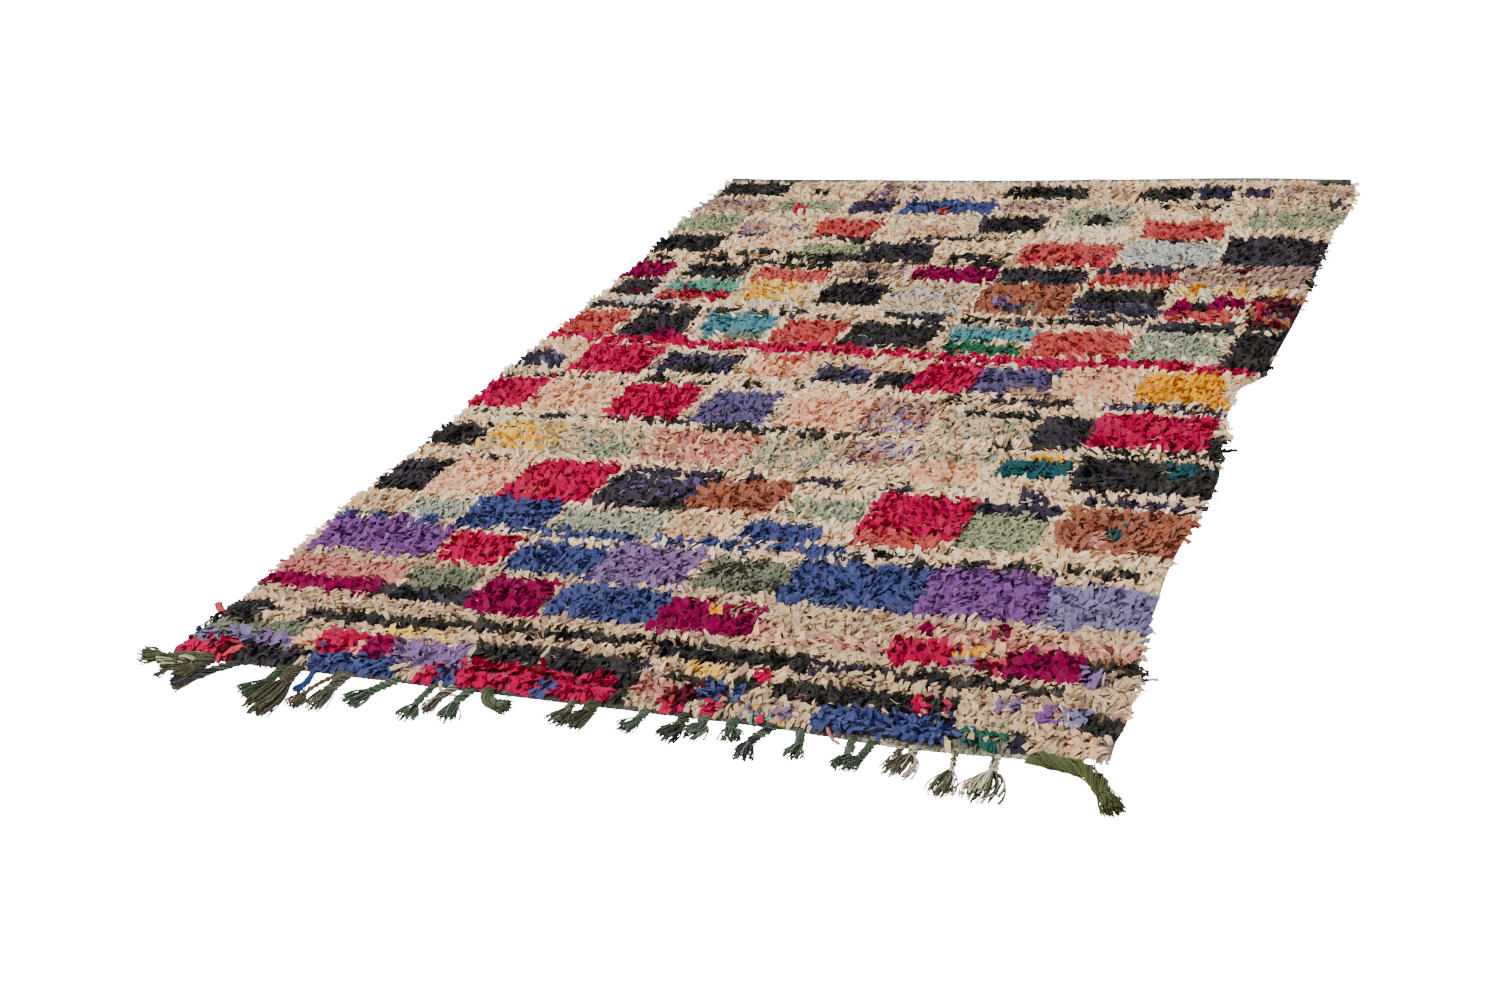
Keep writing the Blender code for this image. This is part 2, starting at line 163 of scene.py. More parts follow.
# The chart: courses of blocks from the tasselled end to the far end. Each block has its
# colour, left and right ends, then its own lower and upper edges where they differ from
# its course's, and the share of tufts that take the colour where it is broken. All in cm.
Course = namedtuple("Course", "low high blocks")
COURSES = (
    Course(-4, 34, (("near_ground", -80, 80),)),
    Course(-3, 6, (
        ("claret", -74, -62, -3, 3), ("ink", -62, -50, -3, 3.5), ("blue", -48.5, -33, -3, 3.5),
        ("crimson", -29, 4, -2, 6, 0.8), ("blue", -25, -22, -2, 2), ("blue", -8, -5, -2, 2),
        ("charcoal", 4, 7), ("dusty_pink", 6.5, 13, 1.5, 6), ("maroon", 12.7, 18, 1.7, 6),
        ("claret", 12.5, 17, -3, 2), ("crimson", 19, 21.5, -3, 2), ("blue", 17.5, 24, 2.5, 6),
        ("confetti", 23, 32, -3, 2, 0.7), ("blue", 36, 56, -3, 4), ("pine", 56.5, 64, -4, 2.5),
        ("navy", 64, 66, -3, 2.5), ("sand", 66, 76, -3, 5, 0.6),
    )),
    Course(3, 11, (
        ("dusk", -76, -52, 3, 7, 0.8), ("grey_green", -76, -52, 7, 10.5, 0.85), ("lilac", -60, -56, 3, 6),
        ("peach", -54, -36, 3.5, 9), ("crimson", -50, -42, 3.5, 9), ("magenta", -41, -36, 3.5, 9),
        ("lilac", -36, -22.5, 3, 9), ("bottle", -22, -10.5, 5.5, 11), ("coal", -10, 7, 5.5, 11),
        ("charcoal", 10, 26, 6.5, 9, 0.7), ("pale_yellow", 13, 19, 8.5, 10.5),
        ("pale_yellow", -40, -28, 9.5, 11.5, 0.7), ("charcoal", 28, 55, 4.5, 10, 0.85),
        ("crimson", 49, 54, 6, 8, 0.4), ("lilac", 60, 64, 8, 10), ("violet", 66, 68, 7, 10),
        ("periwinkle", 69, 73, 7, 10), ("charcoal", 72, 79, 5.5, 9), ("crimson", 24, 26, 9, 10.5),
    )),
    Course(12, 17, (
        ("bottle", -76, -65, 10, 16), ("charcoal", -65, -62, 13, 14.5),
        ("charcoal", -58, -30, 12.2, 15.4), ("charcoal", -31, 0, 14.0, 16.7),
        ("charcoal", 0, 8, 14.7, 17), ("bottle", 6, 30, 12, 16, 0.85), ("earth", 30, 45, 12, 15.5, 0.8),
        ("black", 45, 60, 12.3, 14.6, 0.9), ("black", 60, 68, 12.5, 14.2, 0.7),
    )),
    Course(19, 31, (
        ("magenta", -75, -49, 21, 24.5), ("dusty_pink", -72, -48, 24.5, 31, 0.9),
        ("ink", -49, -31, 20, 24.5, 0.9), ("grey_green", -46, -33, 24.5, 31),
        ("magenta", -31, -18, 19, 29.5), ("blue", -17, 2, 20, 29.5), ("magenta", 2, 18, 19, 28, 0.74),
        ("mustard", 10, 12, 25, 27), ("pink_mix", 18, 40, 18.5, 22.5, 0.45),
        ("crimson", 41, 50, 17, 23, 0.85), ("confetti", 50, 58, 17, 21), ("mustard", 52, 54, 20.5, 22.5),
        ("claret", 54, 58, 17, 20), ("magenta", 58, 69, 16, 23), ("lilac", 69, 72.5, 16, 20),
        ("charcoal", 68.5, 77, 19.8, 23.4), ("pink_mix", 41, 75, 22.8, 27.5, 0.85),
        ("magenta", 43, 45, 25, 27), ("magenta", 54.5, 56.5, 25.5, 27.5),
    )),
    Course(31, 43, (
        ("violet", -71, -46, 33.5, 43.5), ("violet", -61, -57, 43, 46), ("crimson", -45, -32, 33, 42.5),
        ("blue", -31, -14, 32, 41), ("lilac", -15, 2, 31, 43), ("slate", 3, 18, 31.5, 41.5),
        ("blue", 18, 40, 30, 43), ("violet", 40, 59, 30, 44), ("periwinkle", 59, 75, 32, 41.5),
        ("periwinkle", 60, 76, 29.5, 32, 0.6),
    )),
    Course(44, 47, (
        ("blue", -72, -61.5, 44, 46.5, 0.5), ("blue", -56.5, 24, 44, 46.5, 0.55),
        ("black", 25, 75, 44.3, 46.2, 0.42),
    )),
    Course(46, 56, (
        ("sand", -74, -61, 47, 53.5), ("pale_sage", -60, -48, 47, 53.5), ("blue", -47, -31, 46.5, 56),
        ("pale_sage", -30, -10.5, 46, 54), ("sand", -9.5, 0, 46, 54), ("blue", 4.5, 18, 47.5, 53.5),
    )),
    Course(50, 69, (
        ("ink", -72, -61, 55, 67), ("peach", -60, -46, 55, 68), ("crimson", -45, -28, 55, 69),
        ("coral", -41, -37, 57, 59.5), ("ink", -27, -9, 55, 60), ("slate_navy", -27, -9, 60, 66),
        ("rust", -9, 7, 56, 67), ("sage_mix", 8, 22, 55, 63), ("crimson", 23, 40, 52.5, 65),
        ("coral", 23, 37, 49, 52.5), ("sage", 39.5, 53, 50, 62.5), ("navy", 40, 54, 62.5, 64.7, 0.85),
        ("rust", 55, 75, 52.5, 65), ("dusty_pink", 60, 63, 54, 58, 0.6), ("teal", 63, 65, 56, 60, 0.6),
    )),
    Course(66, 70, (
        ("navy", -60, -50, 68.4, 69.6, 0.6), ("navy", -28, 18, 67.2, 69, 0.55),
        ("navy", 22, 27, 66.2, 68.3, 0.75), ("navy", 46, 50, 66, 69, 0.7),
        ("navy", 56, 75, 66.7, 68.5, 0.6),
    )),
    Course(71, 85, (
        ("black", -73, -61, 73, 82), ("straw", -60, -45, 73, 85), ("stone", -45, -28, 72, 84),
        ("pink_mix", -27, -7, 72, 84), ("stone", -7, 9, 72, 84), ("plum", 10, 23, 75, 84),
        ("stone", 24, 38, 77, 83), ("peach", 25, 37, 71, 77), ("teal", 39.5, 51, 74, 81),
        ("mustard", 43, 49, 81, 82.2, 0.7), ("coal", 52, 77, 71, 83), ("teal", 66, 77, 78, 82, 0.3),
    )),
    Course(84, 89, (
        ("charcoal", -70, -20, 86.6, 88.4, 0.5), ("bottle", -20, 14, 84.8, 87.3, 0.55),
        ("charcoal", 35, 75, 84.5, 86.3, 0.7),
    )),
    Course(87, 103, (
        ("crimson", -73, -60, 90, 103), ("peach", -60, -44, 90, 102), ("crimson", -42, -26, 89, 102),
        ("slate_violet", -23, -9, 88, 101), ("peach", -6, 9, 88, 100), ("plum", 9, 22, 88, 101),
        ("stone", 24, 42, 87, 97), ("black", 27, 31, 96, 98, 0.7), ("black", 32, 40, 96, 98, 0.7),
        ("ink", 41.5, 51, 87, 97.5), ("crimson", 51, 71, 87, 99), ("charcoal", 71, 76, 86, 93, 0.8),
    )),
    Course(100, 107, (
        ("charcoal", -72, -52, 103.5, 106, 0.65), ("charcoal", -46, -44, 103, 105),
        ("charcoal", -41, -35.5, 104, 107.2), ("charcoal", -34, -26, 103.5, 105.5, 0.8),
        ("charcoal", -20, -15, 103.7, 105.6, 0.5), ("charcoal", -10, -5, 103.4, 105.6, 0.55),
        ("ink", 20, 27, 100.4, 102.6, 0.6), ("ink", 30, 45, 101, 103.2, 0.85),
        ("slate_navy", 50, 72, 101.3, 103.6, 0.65),
    )),
    Course(104, 119, (
        ("slate_navy", -75, -62, 108.5, 115.5), ("ink", -75, -67, 108.5, 115, 0.6),
        ("sand", -70, -58, 116, 120, 0.5), ("crimson", -59, -43, 107, 119.5),
        ("slate_navy", -41, -24, 108.5, 117), ("black", -35, -28, 108.5, 112),
        ("peach", -21, -8, 108, 117), ("coral", -21, -12, 115, 117, 0.5), ("slate_navy", -7, 5, 107, 113),
        ("ink", 6, 13, 104.5, 113), ("sand", -7, 10, 113, 118, 0.5), ("crimson", 13, 25, 104.5, 117),
        ("slate_violet", 25, 39, 105, 116), ("mauve", 31, 38, 105, 108, 0.7), ("peach", 40, 53, 105, 117),
        ("mustard", 55, 69, 104.5, 116), ("mustard", 68, 71, 104, 107),
    )),
    Course(117, 125, (
        ("crimson", -72, -60, 121.8, 124.2, 0.55), ("crimson", -58, -40, 121.3, 124, 0.85),
        ("crimson", -40, -22, 120.2, 122.6, 0.8), ("crimson", -22, -2, 119.8, 122.8, 0.9),
        ("crimson", -2, 12, 119.1, 121.3, 0.6), ("crimson", 12, 32, 118.2, 120.4, 0.8),
        ("crimson", 32, 46, 117.5, 120, 0.85), ("crimson", 46, 62, 118.4, 120.8, 0.9),
        ("crimson", 62, 73, 117, 119.3, 0.65),
    )),
    Course(121, 137, (
        ("coral", -72, -59, 125, 137), ("ink", -57, -43, 124, 137), ("magenta", -48, -43, 124, 127, 0.5),
        ("turquoise", -41, -25, 128.5, 137), ("turquoise", -38, -35, 125.5, 129),
        ("grey_green", -34, -25, 124.5, 128.5), ("coral", -23, -9, 124, 135), ("coal", -8, 11, 123, 135),
        ("turquoise", 13, 30, 128, 134), ("pale_blue", 13, 18, 126, 128, 0.7),
        ("green", 14, 29, 121.5, 127), ("coral", 30, 48, 121.5, 132.5), ("sage_mix", 49, 66, 121, 136),
        ("coal", 67, 76, 119, 135),
    )),
    Course(135, 142, (
        ("ink", -71, -54, 139, 142, 0.8), ("ink", -54, -44, 138, 141, 0.8),
        ("charcoal", -42, -36, 138, 140.3), ("charcoal", -33, -28, 138, 140.3),
        ("ink", -26, -21, 136, 141, 0.6), ("charcoal", -17, -13, 136, 138.5),
        ("charcoal", -4, 2, 138, 141), ("ink", 2, 10, 136, 141, 0.8), ("ink", 13, 31, 135.9, 138.2, 0.72),
        ("ink", 32, 49, 136.6, 139.3, 0.78), ("ink", 50, 66, 136, 139, 0.85),
        ("charcoal", 68, 76, 135, 139, 0.7),
    )),
    Course(141, 155, (
        ("pale_blue", -66, -50, 142, 146, 0.4), ("pale_blue", -40, -24, 142, 144.5, 0.5),
        ("coal", -70, -60, 146.5, 154), ("maroon", -67, -61, 148, 152, 0.35),
        ("mint", -58, -41, 148.5, 155), ("brick", -57, -41, 143.5, 148.5),
        ("butter", -40, -24, 144.5, 155), ("mustard", -37, -31, 147, 149, 0.5),
        ("coal", -21, -7, 143, 155), ("pale_stone", -6, 11, 141, 155), ("rust", 13, 32, 141, 155),
        ("lilac", 17, 20, 145.5, 149), ("slate_navy", 19, 24, 142, 146.5),
        ("grey_green", 22, 27, 143, 148, 0.6), ("black", 33, 50, 147, 154),
        ("slate_navy", 33, 50, 141, 147, 0.8), ("coral", 52, 65, 140, 145),
        ("charcoal", 54.5, 60.5, 144.8, 150), ("magenta", 52, 55, 143, 149),
        ("magenta", 60, 66, 145.5, 151), ("pale_yellow", 51, 55, 150, 156, 0.6),
        ("pale_yellow", 55, 66, 152.5, 156, 0.35), ("pale_yellow", 69, 73, 152.5, 155.5, 0.6),
        ("pale_blue", 57, 60, 151, 153.5), ("rosewood", 67, 77, 139, 153),
    )),
    Course(155, 166, (
        ("magenta", -73, -61, 155.5, 164), ("coal", -58, -43, 156, 163.5),
        ("coral", -40, -23, 155.5, 161.5), ("mauve_mix", -22, -7, 157, 165),
        ("black", -15, -12, 156, 161, 0.6), ("magenta", -5, 13, 157, 163.5),
        ("charcoal", -4, 12, 163.8, 165.7, 0.5), ("ink", 14, 32, 156, 164.5), ("coral", 33, 50, 156, 162),
        ("navy", 33, 50, 162, 166, 0.8), ("mauve_mix", 51, 76, 157, 168, 0.8),
        ("maroon", 60, 64, 164.5, 166), ("mustard", 54, 56, 155, 157), ("mustard", 62.5, 64.5, 154, 156),
        ("black", 75.3, 77, 155, 168),
    )),
    Course(163, 173, (
        ("black", -72, -64, 166.5, 168.6, 0.8), ("black", -58, -49, 165, 169, 0.55),
        ("black", -46, -38, 164, 167, 0.7), ("black", -37, -24, 163, 166, 0.75),
        ("black", -50, -40, 170, 173, 0.7), ("black", -38, -24, 167, 171, 0.8),
        ("black", -24, -4, 166, 171, 0.92), ("black", 0, 13, 166, 172.5, 0.6),
        ("charcoal", 35, 55, 167, 168.6, 0.75),
    )),
    Course(166, 182, (
        ("coal", -73, -56, 171, 181.5), ("pale_peach", -55, -38, 173, 182),
        ("sage", -36, -21, 171, 177.7), ("ink", -20, -5, 167.5, 177.5),
        ("ink", -13, -7, 178.5, 181.5, 0.6), ("coral", 15, 35, 166, 178.3),
        ("brick", 15, 34, 166, 170, 0.05), ("pale_blue", 36, 55, 168.6, 180.5), ("ink", 56, 76, 168, 182),
    )),
    Course(179, 184, (
        ("charcoal", -57, -47, 181, 183.5), ("charcoal", -39, -21, 179, 182.5, 0.75),
        ("charcoal", -11, 2, 180, 182.3, 0.75), ("charcoal", 2, 12, 180.3, 182.3, 0.7),
        ("charcoal", 40, 55, 180.5, 182.2, 0.5), ("ink", 56, 74, 182, 183.4, 0.5),
    )),
    Course(180, 195, (
        ("sage", -73, -57, 184, 195, 0.9), ("plum", -56, -48, 183.5, 189.5, 0.85),
        ("plum", -46, -40, 183.5, 188.5, 0.6), ("coral", -37, -22, 182, 191.5),
        ("pink_mix", -20, -4, 183, 188.5, 0.5), ("coal", 0, 15, 185, 194.3),
        ("pale_cream", 16, 35, 180.5, 188), ("sage_mix", 17, 33, 188, 201), ("black", 24, 28, 190, 195),
        ("coral", 37, 54, 182.5, 191.5), ("sage", 57, 76, 188, 199, 0.75),
    )),
    Course(195, 205, (
        ("mauve_mix", -73, -55, 197, 205), ("sage", -53, -36, 196, 204),
        ("crimson", -47, -44.5, 197, 200.5), ("slate_navy", -34, -23, 196, 204.2),
        ("blue", -21, 0, 196, 204), ("coral", -12, -10, 195, 199.5), ("plum", 2, 17, 197.5, 203, 0.9),
        ("charcoal", 35, 55, 200, 203, 0.25), ("stone", 57, 76, 199, 205, 0.5),
        ("ink", 72, 77, 201.3, 204.5, 0.6),
    )),
    Course(204, 216, (
        ("black", -71, -54, 207, 216), ("black", -46.5, -43, 208, 210.4),
        ("mauve_mix", -33, -20, 206, 215, 0.6), ("lilac", -30, -28, 206.5, 210.5),
        ("black", 0, 19, 205, 213), ("sand", 19, 31, 206, 213, 0.8), ("black", 31, 43, 204, 212),
        ("navy", 44, 51.5, 205, 213), ("navy", 53, 59, 207, 212.6), ("plum", 59, 76, 206, 214, 0.35),
        ("mauve_mix", 59, 76, 206, 214, 0.5), ("bottle", 68, 75, 215, 219, 0.5),
    )),
)
# The first courses of tufts lie folded over the hem, so that more of the chart shows there
FOLDED_FROM, FOLDED_TO, FOLDED_LOW = -0.6, 6.0, -3.0
# From here to the right the tufts stop short of the hem's edge. In metres.
HEM_SHOWS_FROM = -0.50
HEM_SHOWS_SOFT = 0.03
# How loose a block's border is, and how far it wanders, in cm
BORDER_JITTER = 0.25
BORDER_WANDER = 0.6
# How loosely the tufts keep to the clumps of broken blocks and of mixtures
CLUMP_LOOSE, MIX_LOOSE = 0.12, 0.35
# How far the cloth spreads at its near corners, and the length of side that it takes
SPREAD = {"left": (-0.017, 0.30), "right": (0.030, 0.32)}
# Broken blocks take the colour in a few more tufts than their share
FILL = 0.18
# Stripes thinner than this are woven a little wider, because their neighbours lean over them
THIN, SWELL = 4.1, 0.3

# Tufts: how far they stray from their places, in shares of the pitch, and the part of the
# cloth that holds their roots
STRAY_ACROSS, STRAY_ALONG = 0.28, 0.22
TUFTS_ACROSS, TUFTS_ALONG = (0.002, 0.998), (0.001, 0.989)
# Tufts this near to a side are drawn over it and lean further
RIM_DEPTH = 0.030
RIM_LEAN = math.radians(28)
# Middle and span of the stretch where the near hem lies bare of tufts
BARE_HEM = (0.49, 0.14)
LENGTH_RANGE = (0.80, 1.18)
LEAN_SPREAD = math.radians(8)
# The rows' tufts point to and fro along the rug, and this share of them the other way
FAN = (0.55, -0.75)
TURNED_SHARE = 0.25
HEADING_LOOSE = (0.19, 0.18)

# One strip of rag: a crumpled leaf of cloth with an edge at its root, a creased ring where it
# bends over and a ragged edge at its tip. Each point has its ring and its place across.
MOST_FACES = 190_000
STRIP_AT = (0.0, 0.52, 1.0)
STRIP_WIDTHS = (0.65, 1.05, 0.92)
STRIP_CREASE = (0.0, 0.24, 0.0)
LEFT, RIGHT, RIDGE = 0.0, 1.0, 0.5
STRIP_POINTS = ((0, LEFT), (0, RIGHT), (1, LEFT), (1, RIGHT), (1, RIDGE), (2, LEFT), (2, RIGHT))
STRIP_CORNERS = (
    (0, 2, 3, 1), (2, 5, 6, 3), (0, 1, 4), (0, 4, 2), (1, 3, 4), (4, 6, 5), (2, 4, 5), (4, 3, 6),
)
STRIP_TRIANGLES = sum(len(corners) - 2 for corners in STRIP_CORNERS)
ROOT_HEIGHT = 0.0055
WIDTH_RANGE = (0.65, 1.3)
CURL_SPREAD = math.radians(18)
ROLL_SPREAD = math.radians(18)
TWIST_SPREAD = math.radians(28)
SWERVE_SPREAD = math.radians(12)
# How ragged the tips are and how far the edges crumple, in shares of half the width
RAGGED, CRUMPLE = 0.42, 0.30
# The middle and the edges of a strip come no lower than this
LOWEST_MIDDLE, LOWEST_EDGE = 0.0022, 0.0009
# How far from its root a strip shows, as a share of its length
SHOWN = 0.5
# No middle of a strip stands higher than this
PILE_LIMIT = 0.034
FADED_CLOTH = (0.55, 0.50, 0.44, 1)

# Ground cloth: its grid, the depth over which the far hem curls up and the curl's shape,
# how gently it thins towards that edge, and the far hem's own band
GROUND_SEED = 3
GROUND_COLUMNS, GROUND_ROWS = 70, 103
LIP_DEPTH, LIP_ROUND = 0.024, 1.3
THINNING = 0.05
BACK_JITTER = 0.1
FAR_HEM = 0.012
FAR_HEM_COLOUR = (96, 100, 80)

# Wools by name, as colours seen in daylight
WOOLS = {
    "green": (80, 102, 78),
    "olive": (88, 90, 60),
    "brown": (104, 94, 76),
    "grey_green": (112, 120, 98),
    "ink": (50, 52, 60),
    "moss": (84, 92, 42),
    "ecru": (224, 212, 180),
    "denim": (52, 84, 150),
    "brick": (178, 84, 74),
}

# Tassels from left to right: root along the hem, tip, sideways bow, neck and brush widths,
# share of the length at which the neck is tied, twist of the neck in turns, main and
# second wool and the second's share. Sizes in metres.
Tassel = namedtuple("Tassel", "root tip_x tip_y bow neck brush tied turns wool second share")
TASSELS = (
    Tassel(-0.7020, -0.7985, -0.020, 0.004, 0.011, 0.028, 0.66, 1.2, "olive", "green", 0.35),
    Tassel(-0.6900, -0.7400, -0.064, -0.010, 0.005, 0.008, 0.80, 2.0, "grey_green", "olive", 0.5),
    Tassel(-0.6900, -0.7480, -0.040, 0.006, 0.014, 0.020, 0.62, 0.7, "olive", "ecru", 0.22),
    Tassel(-0.6725, -0.6925, -0.070, 0.004, 0.017, 0.024, 0.60, 0.6, "olive", "brown", 0.4),
    Tassel(-0.6125, -0.6880, -0.088, -0.004, 0.010, 0.013, 0.75, 1.5, "ink", "olive", 0.25),
    Tassel(-0.5325, -0.5485, -0.092, 0.005, 0.011, 0.018, 0.55, 1.0, "green", "olive", 0.4),
    Tassel(-0.5095, -0.4975, -0.132, 0.006, 0.017, 0.030, 0.42, 0.6, "olive", "brown", 0.45),
    Tassel(-0.4790, -0.4720, -0.060, 0.003, 0.007, 0.009, 0.70, 0.5, "denim", "denim", 0.0),
    Tassel(-0.4325, -0.4525, -0.098, -0.012, 0.006, 0.022, 0.66, 2.0, "brown", "brick", 0.15),
    Tassel(-0.4125, -0.4125, -0.098, -0.005, 0.013, 0.020, 0.50, 0.8, "grey_green", "brown", 0.35),
    Tassel(-0.3225, -0.3625, -0.080, -0.006, 0.011, 0.024, 0.58, 1.4, "green", "grey_green", 0.3),
    Tassel(-0.2575, -0.2525, -0.095, -0.005, 0.009, 0.020, 0.62, 1.5, "green", "grey_green", 0.4),
    Tassel(-0.2225, -0.2305, -0.070, -0.006, 0.010, 0.014, 0.55, 0.8, "brown", "ecru", 0.12),
    Tassel(-0.1925, -0.1875, -0.086, -0.008, 0.011, 0.018, 0.55, 1.0, "green", "grey_green", 0.25),
    Tassel(-0.1680, -0.1100, -0.040, -0.012, 0.014, 0.016, 0.78, 0.6, "green", "olive", 0.5),
    Tassel(-0.0225, -0.0245, -0.060, 0.004, 0.010, 0.020, 0.42, 1.2, "brown", "grey_green", 0.35),
    Tassel(0.0125, 0.0055, -0.062, 0.006, 0.015, 0.018, 0.50, 0.7, "olive", "ink", 0.25),
    Tassel(0.0975, 0.0855, -0.056, 0.003, 0.010, 0.017, 0.52, 1.2, "green", "grey_green", 0.3),
    Tassel(0.1615, 0.1515, -0.065, 0.004, 0.012, 0.019, 0.48, 1.0, "olive", "ink", 0.35),
    Tassel(0.1885, 0.1865, -0.053, 0.005, 0.011, 0.024, 0.42, 1.2, "grey_green", "green", 0.4),
    Tassel(0.2325, 0.2505, -0.045, -0.003, 0.012, 0.016, 0.52, 0.8, "green", "grey_green", 0.35),
    Tassel(0.2975, 0.2835, -0.086, -0.012, 0.010, 0.016, 0.60, 1.4, "grey_green", "ink", 0.5),
    Tassel(0.3325, 0.3465, -0.068, 0.006, 0.010, 0.017, 0.62, 1.4, "green", "grey_green", 0.25),
    Tassel(0.4120, 0.4205, -0.080, 0.004, 0.009, 0.022, 0.62, 1.2, "green", "grey_green", 0.3),
    Tassel(0.4430, 0.4265, -0.074, 0.006, 0.009, 0.016, 0.66, 1.2, "green", "olive", 0.3),
    Tassel(0.4860, 0.4920, -0.062, -0.004, 0.008, 0.018, 0.40, 1.0, "brown", "ecru", 0.35),
    Tassel(0.5040, 0.5000, -0.082, 0.003, 0.010, 0.030, 0.36, 1.0, "brown", "ecru", 0.45),
    Tassel(0.5585, 0.5675, -0.110, 0.004, 0.007, 0.026, 0.46, 2.0, "olive", "ecru", 0.4),
    Tassel(0.6155, 0.6215, -0.110, 0.003, 0.010, 0.042, 0.42, 1.6, "olive", "ecru", 0.5),
)

# A brush is widest before its tip: the angle of the sine that gives its width there
HEAD_ROUND = 2.2
YARN_RINGS = 11
# How far the knot pinches the neck, and over which share of the tassel's length
WAIST_PINCH, WAIST_SPAN = 0.22, 0.07
# How a yarn wanders from ring to ring, and how far along the brush it reaches
YARN_WANDER = 0.0010
YARN_REACH = (0.80, 1.0)
YARN_THICKNESS = (0.85, 1.25)
BRUSH_RISE = 0.0035
# Tassels start this far behind the hem's edge and this high, inside the hem's thickness,
# and come to their own height over this share of their length
UNDER_HEM = 0.003
ROOT_RISE = 0.0030
ROOT_SHARE = 0.12
FLOOR_GAP = 0.0004
# Turns of the yarn round a neck, and the second wool's share from which it is of that wool
KNOT_TURNS = 2.4
KNOT_SECOND = 0.35
UP = np.array([0.0, 0.0, 1.0])

# The thick bundle at the near-right corner turns along the hem and then runs out past it
CORNER_WAY = (
    (0.658, 0.000), (0.690, -0.012), (0.722, -0.018), (0.748, -0.030), (0.766, -0.052),
    (0.797, -0.099))
CORNER = Tassel(0.658, 0.797, -0.099, 0.0, 0.0168, 0.0188, 0.80, 1.3, "moss", "olive", 0.3)

# Loose ends past the sides: points of the way in weave metres, width and wool or rag colour
Loose = namedtuple("Loose", "way width colour")
LOOSE_ENDS = (
    Loose(((0.715, 0.212), (0.750, 0.206), (0.776, 0.214)), 0.008, (214, 178, 160)),
    Loose(((0.715, 0.105), (0.742, 0.092), (0.757, 0.078)), 0.0012, (112, 104, 92)),
    Loose(((-0.735, 0.118), (-0.760, 0.136), (-0.784, 0.159)), 0.014, (196, 40, 52)),
    Loose(((0.690, 0.893), (0.718, 0.900), (0.743, 0.912)), 0.012, (40, 36, 44)),
    Loose(((-0.715, 0.785), (-0.742, 0.792), (-0.757, 0.776)), 0.0012, (190, 172, 148)),
    Loose(((-0.715, 0.770), (-0.738, 0.768), (-0.752, 0.781)), 0.0010, (60, 52, 48)),
    Loose(((-0.250, 0.004), (-0.238, -0.014), (-0.205, -0.019)), 0.007, (210, 176, 150)),
    Loose(((0.372, 0.004), (0.385, -0.012), (0.398, -0.020)), 0.006, (198, 112, 100)),
    Loose(((0.445, 0.004), (0.462, -0.010), (0.482, -0.012)), 0.006, (196, 178, 148)),
)
LOOSE_SEED = 5
LOOSE_RINGS = 14
LOOSE_THICK = 0.0018

# Frayed threads: name, colour and number, then their steps, heights and radii in metres
THREADS = (("pale", (232, 220, 198), 420), ("dark", (70, 62, 60), 120), ("pink", (200, 96, 104), 60))
THREAD_RINGS = 6
THREADS_WITHIN = (0.01, 0.99)
THREAD_STEP = (0.002, 0.006)
THREAD_LEVEL = (0.018, 0.024)
THREAD_WAVE = 0.0012
THREAD_RADIUS = (0.0003, 0.0006)

# Hem: its yarns' colours, the draws at which one gives way to the next, and where and how
# softly the pale yarns take over to the right
HEM_COLOURS = ((66, 62, 56), (104, 104, 90), (84, 92, 76), (148, 138, 118), (192, 180, 152))
HEM_SHARES = (0.35, 0.55, 0.66, 0.82)
HEM_PALES = (0.40, 0.05)
# Reach, middle and span of the belly in its outer edge
HEM_BOWL = (0.010, 0.49, 0.13)
HEM_SEED = 17
HEM_COLUMNS, HEM_ROWS = 560, 7
HEM_HALF = 0.722
HEM_BUMP = 0.0007
HEM_FOOT = 0.0006

# Stage: the floor, the lights and the photograph's camera. Each light has its name, the
# setting that holds its power, its place and its size.
FLOOR_SIZE, FLOOR_MIDDLE = 60, (0, 8, 0)
LIGHTS = (
    ("key_light", "key_power", (-1.8, -2.2, 3.6), 2.6),
    ("fill_light", "fill_power", (3.0, 1.0, 3.0), 3.0),
)
CAMERA_EYE = (1.3915, -3.1005, 1.527)
CAMERA_TURN = (63.144, 8.100, 23.425)
CAMERA_SEES = 200


def linear(colour):
    """A colour of 0 to 255 as Blender's linear values."""
    part = np.asarray(colour, float) / 255
    return tuple(np.where(part <= 0.04045, part / 12.92, ((part + 0.055) / 1.055) ** 2.4))


def place(x, y, z):
    """Weave coordinates to the part's frame."""
    return np.stack([x, y + WEAVE_Y, z], axis=-1)


class WeaveSizes(bpy.types.PropertyGroup):
    """Sizes of the ground cloth and of the hem."""

    ground: bpy.props.FloatProperty(
        name="Ground thickness", description="Woven ground under the pile",
        default=0.0032, min=0.001, max=0.006, unit="LENGTH")
    knots: bpy.props.FloatProperty(
        name="Knot height", description="How far the packed knots stand over the ground",
        default=0.0068, min=0.0, max=0.012, unit="LENGTH")
    hem_depth: bpy.props.FloatProperty(
        name="Hem depth", description="Flat-woven band before the first tufts",
        default=0.0175, min=0.005, max=0.03, unit="LENGTH")
    hem_thickness: bpy.props.FloatProperty(
        name="Hem thickness", description="Thickness of the flat-woven band",
        default=0.0045, min=0.002, max=0.008, unit="LENGTH")
    far_lip: bpy.props.FloatProperty(
        name="Far lip", description="How high the far hem curls",
        default=0.0185, min=0.0, max=0.025, unit="LENGTH")


